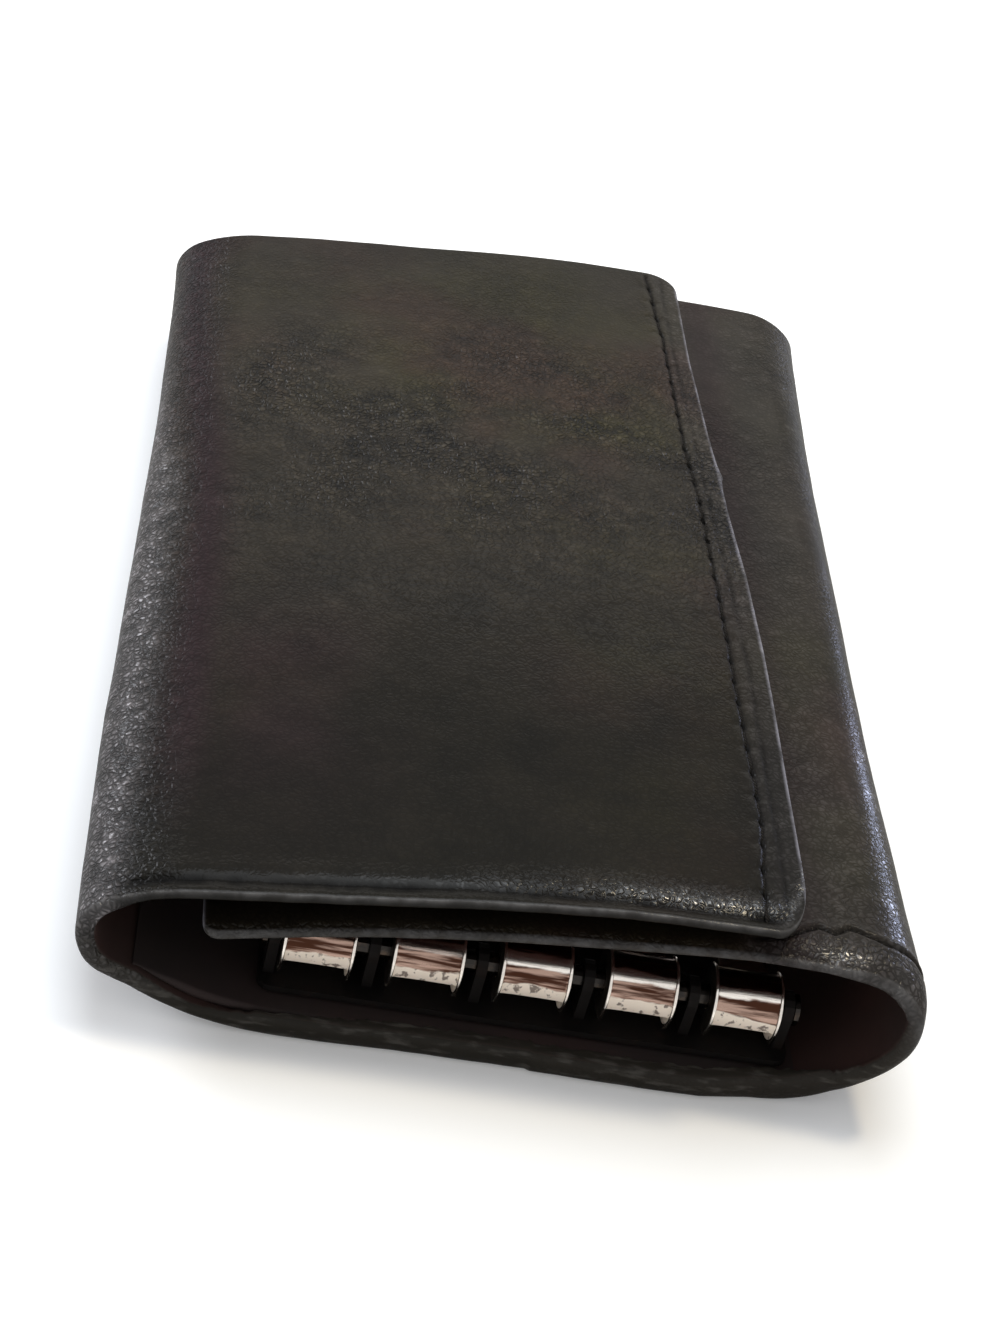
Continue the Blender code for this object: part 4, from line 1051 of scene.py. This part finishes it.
def makeLeather(name):
    made, tree, shader = newFinish(name)
    grain, polish, groove, band = (painted(tree, key) for key in ("grain", "polish", "groove", "band"))
    smooth = caseLeather["smooth"]
    fine, height = speckle(tree, caseLeather["fine"]), leatherGrain(tree)
    strength = plus(tree, times(tree, grain, 1.0 - smooth), smooth)
    coarse = relief(tree, height, caseLeather["grainHeight"], strength)
    bumps = relief(tree, fine, caseLeather["fineHeight"], 0.3, coarse)
    shine = times(tree, polish, ramp(tree, height, 0.5, 1.1, 0.15, 1.0))
    shine = plus(tree, caseLeather["gloss"], shine, True)
    # the painted-shade creases and band also lose most of their coat
    darker = sums(tree, "MAXIMUM", times(tree, groove, 0.95), times(tree, band, 0.6))
    feedAll(tree, shader, {
        "Base Color": leatherColour(tree, height, grain),
        "Normal": bumps,
        "Roughness": plus(tree, caseLeather["roughness"], times(tree, minus(tree, fine, 0.5), 0.15)),
        "Specular IOR Level": 0.02,
        "Coat Normal": bumps,
        "Coat Weight": times(tree, shine, minus(tree, 1.0, darker)),
        "Coat Roughness": caseLeather["polished"],
        "Coat IOR": 2.2,
    })
    return made


linings = {
    # name: darker colour, lighter colour
    # the base's lining is a darker, less red copy of the maroon lining: painted shade on the floor of the cavity
    "base_lining": ((0.024, 0.019, 0.018), (0.034, 0.022, 0.021)),
    "maroon_lining": ((0.044, 0.021, 0.019), (0.062, 0.024, 0.021)),
    "fold_inside": ((0.031, 0.020, 0.018), (0.052, 0.026, 0.023)),
}


def makeLining(name):
    # dark suede-like lining; the inner faces of the folds wear to grey at the lip
    made, tree, shader = newFinish(name)
    colour = colourMix(tree, ramp(tree, speckle(tree, 70.0, 6.0), 0.3, 0.7), *linings[name])
    if name == "fold_inside":
        colour = wornOver(tree, colour)
    nap = relief(tree, speckle(tree, 1600.0, 5.0), 0.00006, 0.35)
    feedAll(tree, shader, {"Base Color": colour, "Normal": nap, "Roughness": 0.72, "Specular IOR Level": 0.12})
    return made


threadBlack = {"dark": (0.004, 0.0035, 0.003), "light": (0.013, 0.011, 0.009), "twist": 1500.0}


def makeThread(name):
    made, tree, shader = newFinish(name)
    place = tree.nodes.new("ShaderNodeTexCoord")
    twist = tree.nodes.new("ShaderNodeTexWave")
    twist.bands_direction = "DIAGONAL"
    twist.inputs["Scale"].default_value = threadBlack["twist"]
    tree.links.new(place.outputs["Object"], twist.inputs["Vector"])
    bumps = relief(tree, twist.outputs["Fac"], 0.00005, 0.6)
    colour = colourMix(tree, twist.outputs["Fac"], threadBlack["dark"], threadBlack["light"])
    feedAll(tree, shader, {"Base Color": colour, "Normal": bumps, "Roughness": 0.65, "Specular IOR Level": 0.04})
    return made


metals = {
    # name: colour, roughness, stain colour, how much of it is stained
    "nickel_plate": ((0.78, 0.71, 0.63), 0.16, (0.35, 0.22, 0.16), 1.0),
    # the rail's steel and its nickel rod are painted near black: painted shade under the heads
    "steel_painted_shade": ((0.014, 0.0125, 0.012), 0.5, (0.02, 0.014, 0.012), 0.8),
    "rail_nickel": ((0.03, 0.027, 0.025), 0.18, (0.10, 0.07, 0.05), 0.8),
    "shaded_nickel": ((0.10, 0.085, 0.07), 0.3, (0.05, 0.03, 0.02), 1.0),
    "plain_steel": ((0.42, 0.41, 0.40), 0.3, (0.2, 0.15, 0.12), 0.8),
}


def makeMetal(name):
    colour, roughness, stain, amount = metals[name]
    made, tree, shader = newFinish(name)
    spots = speckle(tree, 700.0, 4.0)
    stained = ramp(tree, spots, 0.5, 0.8, 0.0, amount)
    feedAll(tree, shader, {
        "Base Color": colourMix(tree, stained, colour, stain),
        "Metallic": 1.0,
        "Roughness": plus(tree, roughness, times(tree, spots, roughness * 0.6)),
        "Normal": relief(tree, speckle(tree, 2400.0), 0.00003, 0.12),
    })
    return made


headNickel = {
    "plate": (0.84, 0.79, 0.73),
    "cream": (0.86, 0.75, 0.64),  # painted reflection of the pale floor, matt, low on the band
    # brown and pink: painted reflections of dark surroundings, streaked like worn plating
    "brown": (0.050, 0.020, 0.012),
    "pink": (0.37, 0.25, 0.20),
    "creamTo": 11.0,  # degrees round the head, from level at the front
    "brownTo": 46.0,
    "brightTo": 68.0,
    "wander": 34.0,  # degrees by which those limits stray
    "streaks": (200.0, 2600.0, 2600.0),
    "strays": (260.0, 900.0, 900.0),
    "pits": (1800.0, 3600.0, 1500.0),
    "roughness": 0.13,
}


def makeHeadNickel(name):
    # nickel with painted reflections: matt cream below for the pale floor, brown in streaks across the front for the
    # dark surroundings, bright above that, and browned on top for the flap above; the streaks and pits are worn plating
    made, tree, shader = newFinish(name)
    brown, pink, plate = (headNickel[key] for key in ("brown", "pink", "plate"))
    place = tree.nodes.new("ShaderNodeTexCoord")
    parts = tree.nodes.new("ShaderNodeSeparateXYZ")
    tree.links.new(place.outputs["Object"], parts.inputs[0])
    ahead = minus(tree, head["centre"][0] * mm, parts.outputs[1])
    above = minus(tree, parts.outputs[2], head["centre"][1] * mm)
    angle = times(tree, sums(tree, "ARCTAN2", above, ahead), 180.0 / math.pi)
    radius = sums(tree, "POWER", plus(tree, times(tree, ahead, ahead), times(tree, above, above)), 0.5)
    cheek = ramp(tree, radius, (head["band"] + 0.08) * mm, (head["band"] + 0.16) * mm)
    streaks, strays, pits = (
        speckle(tree, 1.0, 4.0, stretchBy=headNickel[key]) for key in ("streaks", "strays", "pits")
    )
    at = plus(tree, angle, times(tree, minus(tree, strays, 0.5), headNickel["wander"]))
    overCream, overBrown, overBright = (
        ramp(tree, at, headNickel[key] - soft, headNickel[key] + soft)
        for key, soft in (("creamTo", 2), ("brownTo", 3), ("brightTo", 3))
    )
    cream = colourMix(tree, ramp(tree, pits, 0.55, 0.66, 0.0, 0.8), headNickel["cream"], brown)
    # painted reflection of the dark surroundings in front, in streaks
    paintedFrontReflection = colourMix(tree, ramp(tree, streaks, 0.4, 0.62), brown, pink)
    colour = colourMix(tree, overCream, cream, paintedFrontReflection)
    colour = colourMix(tree, times(tree, overBrown, painted(tree, "bright")), colour, plate)
    # painted reflection of the flap above, on top
    top = colourMix(tree, ramp(tree, streaks, 0.52, 0.8), brown, pink)
    colour = colourMix(tree, overBright, colour, top)
    matt = times(tree, minus(tree, 1.0, overCream), minus(tree, 1.0, cheek))
    rough = plus(tree, headNickel["roughness"], times(tree, streaks, 0.14))
    feedAll(tree, shader, {
        "Base Color": colourMix(tree, times(tree, cheek, 0.8), colour, plate),
        "Metallic": minus(tree, 1.0, times(tree, matt, 0.75)),
        "Roughness": plus(tree, rough, times(tree, matt, 0.3)),
        "Normal": relief(tree, streaks, 0.00005, 0.4),
    })
    return made


def dressPieces():
    outerFace = makeLeather("case_leather")
    soft = {name: makeLining(name) for name in linings}
    for name, made in pieces.items():
        isLining = "lining" in name
        lining = soft["base_lining" if name.startswith("base") else "maroon_lining"]
        for finish in ((lining, lining) if isLining else (outerFace, soft["fold_inside"])):
            made.data.materials.append(finish)
    stitches.data.materials.append(makeThread("black_thread"))
    wornNickelAndReflections = makeHeadNickel("worn_nickel_and_reflections")
    finishes = {name: makeMetal(name) for name in metals}
    for made in heads:
        made.data.materials.append(wornNickelAndReflections)
        if made.name.endswith("band"):
            made.data.materials.append(finishes["shaded_nickel"])
    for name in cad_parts:
        node = bpy.data.objects.get(name)
        if node is None or node.hide_render:
            continue
        finish = "nickel_plate"
        if name == "rail_rod":
            finish = "rail_nickel"
        elif name.startswith("rail_"):
            finish = "steel_painted_shade"
        elif name.startswith(("gate_pin", "snap_cap", "snap_post")):
            finish = "plain_steel"
        for slotOf in node.material_slots:
            slotOf.material = finishes[finish]


dressPieces()
print("finishes set")


floor = {"reach": 3.0, "level": -0.00002, "colour": (0.93, 0.93, 0.93), "glow": 0.13}
worldLight = ((1, 0.45), (2, 1.0))  # input and strength of the soft light, and of the white that is seen
white = (1.0, 1.0, 1.0)


def makeFloor():
    mesh = bpy.data.meshes.new("floor")
    reach = floor["reach"]
    corners = [(x * reach, y * reach, floor["level"]) for x, y in ((-1, -1), (1, -1), (1, 1), (-1, 1))]
    mesh.from_pydata(corners, [], [(0, 1, 2, 3)])
    made = addObject("floor", mesh)
    finish, tree, shader = newFinish("pale_floor")
    feedAll(tree, shader, {
        "Base Color": floor["colour"],
        "Roughness": 0.9,
        "Specular IOR Level": 0.1,
        "Emission Color": white,
        "Emission Strength": times(tree, seenRays(tree), floor["glow"]),
    })
    mesh.materials.append(finish)


def seenRays(tree):  # 1 for rays that end in the picture, also by way of metal or glass
    path = tree.nodes.new("ShaderNodeLightPath")
    seen = sums(tree, "MAXIMUM", path.outputs["Is Camera Ray"], path.outputs["Is Glossy Ray"])
    return sums(tree, "MAXIMUM", seen, path.outputs["Is Transmission Ray"])


def makeWorld():
    world = bpy.data.worlds.new("world")
    scene.world = world
    world.use_nodes = True
    tree = world.node_tree
    tree.nodes.clear()
    mix = tree.nodes.new("ShaderNodeMixShader")
    tree.links.new(seenRays(tree), mix.inputs["Fac"])
    for index, strength in worldLight:
        glow = tree.nodes.new("ShaderNodeBackground")
        feedAll(tree, glow, {"Color": white, "Strength": strength})
        tree.links.new(glow.outputs["Background"], mix.inputs[index])
    out = tree.nodes.new("ShaderNodeOutputWorld")
    tree.links.new(mix.outputs["Shader"], out.inputs["Surface"])


lamps = {
    # name: direction from the case, distance, size, radiance, colour
    "overhead": ((0.29, 0.17, 0.93), 0.85, (0.12, 0.12), 44.0, (1.0, 0.86, 0.62)),
    "key": ((-0.08, 0.32, 0.94), 1.0, (0.6, 0.6), 5.3, (0.88, 0.94, 1.0)),
    "window": ((0.05, 0.89, 0.45), 1.3, (1.0, 0.26), 2.5, (1.0, 0.97, 0.93)),
    "strip": ((0.68, 0.72, 0.15), 1.1, (0.10, 0.22), 20.0, (0.62, 0.70, 1.0)),
    "side": ((-0.68, 0.62, 0.3), 1.2, (0.6, 0.35), 16.0, (0.90, 0.93, 1.0)),
}


def makeLamps():
    for name, (direction, distance, size, radiance, colour) in lamps.items():
        data = bpy.data.lights.new(name, "AREA")
        data.shape = "RECTANGLE"
        data.size, data.size_y = size
        data.energy = radiance * math.pi * size[0] * size[1]
        data.color = colour
        made = addObject(name, data)
        made.location = Vector(direction).normalized() * distance
        made.rotation_euler = (-Vector(direction)).to_track_quat("-Z", "Y").to_euler()


makeFloor()
makeWorld()
makeLamps()
scene.view_settings.view_transform = "Standard"
print("floor and lamps set")
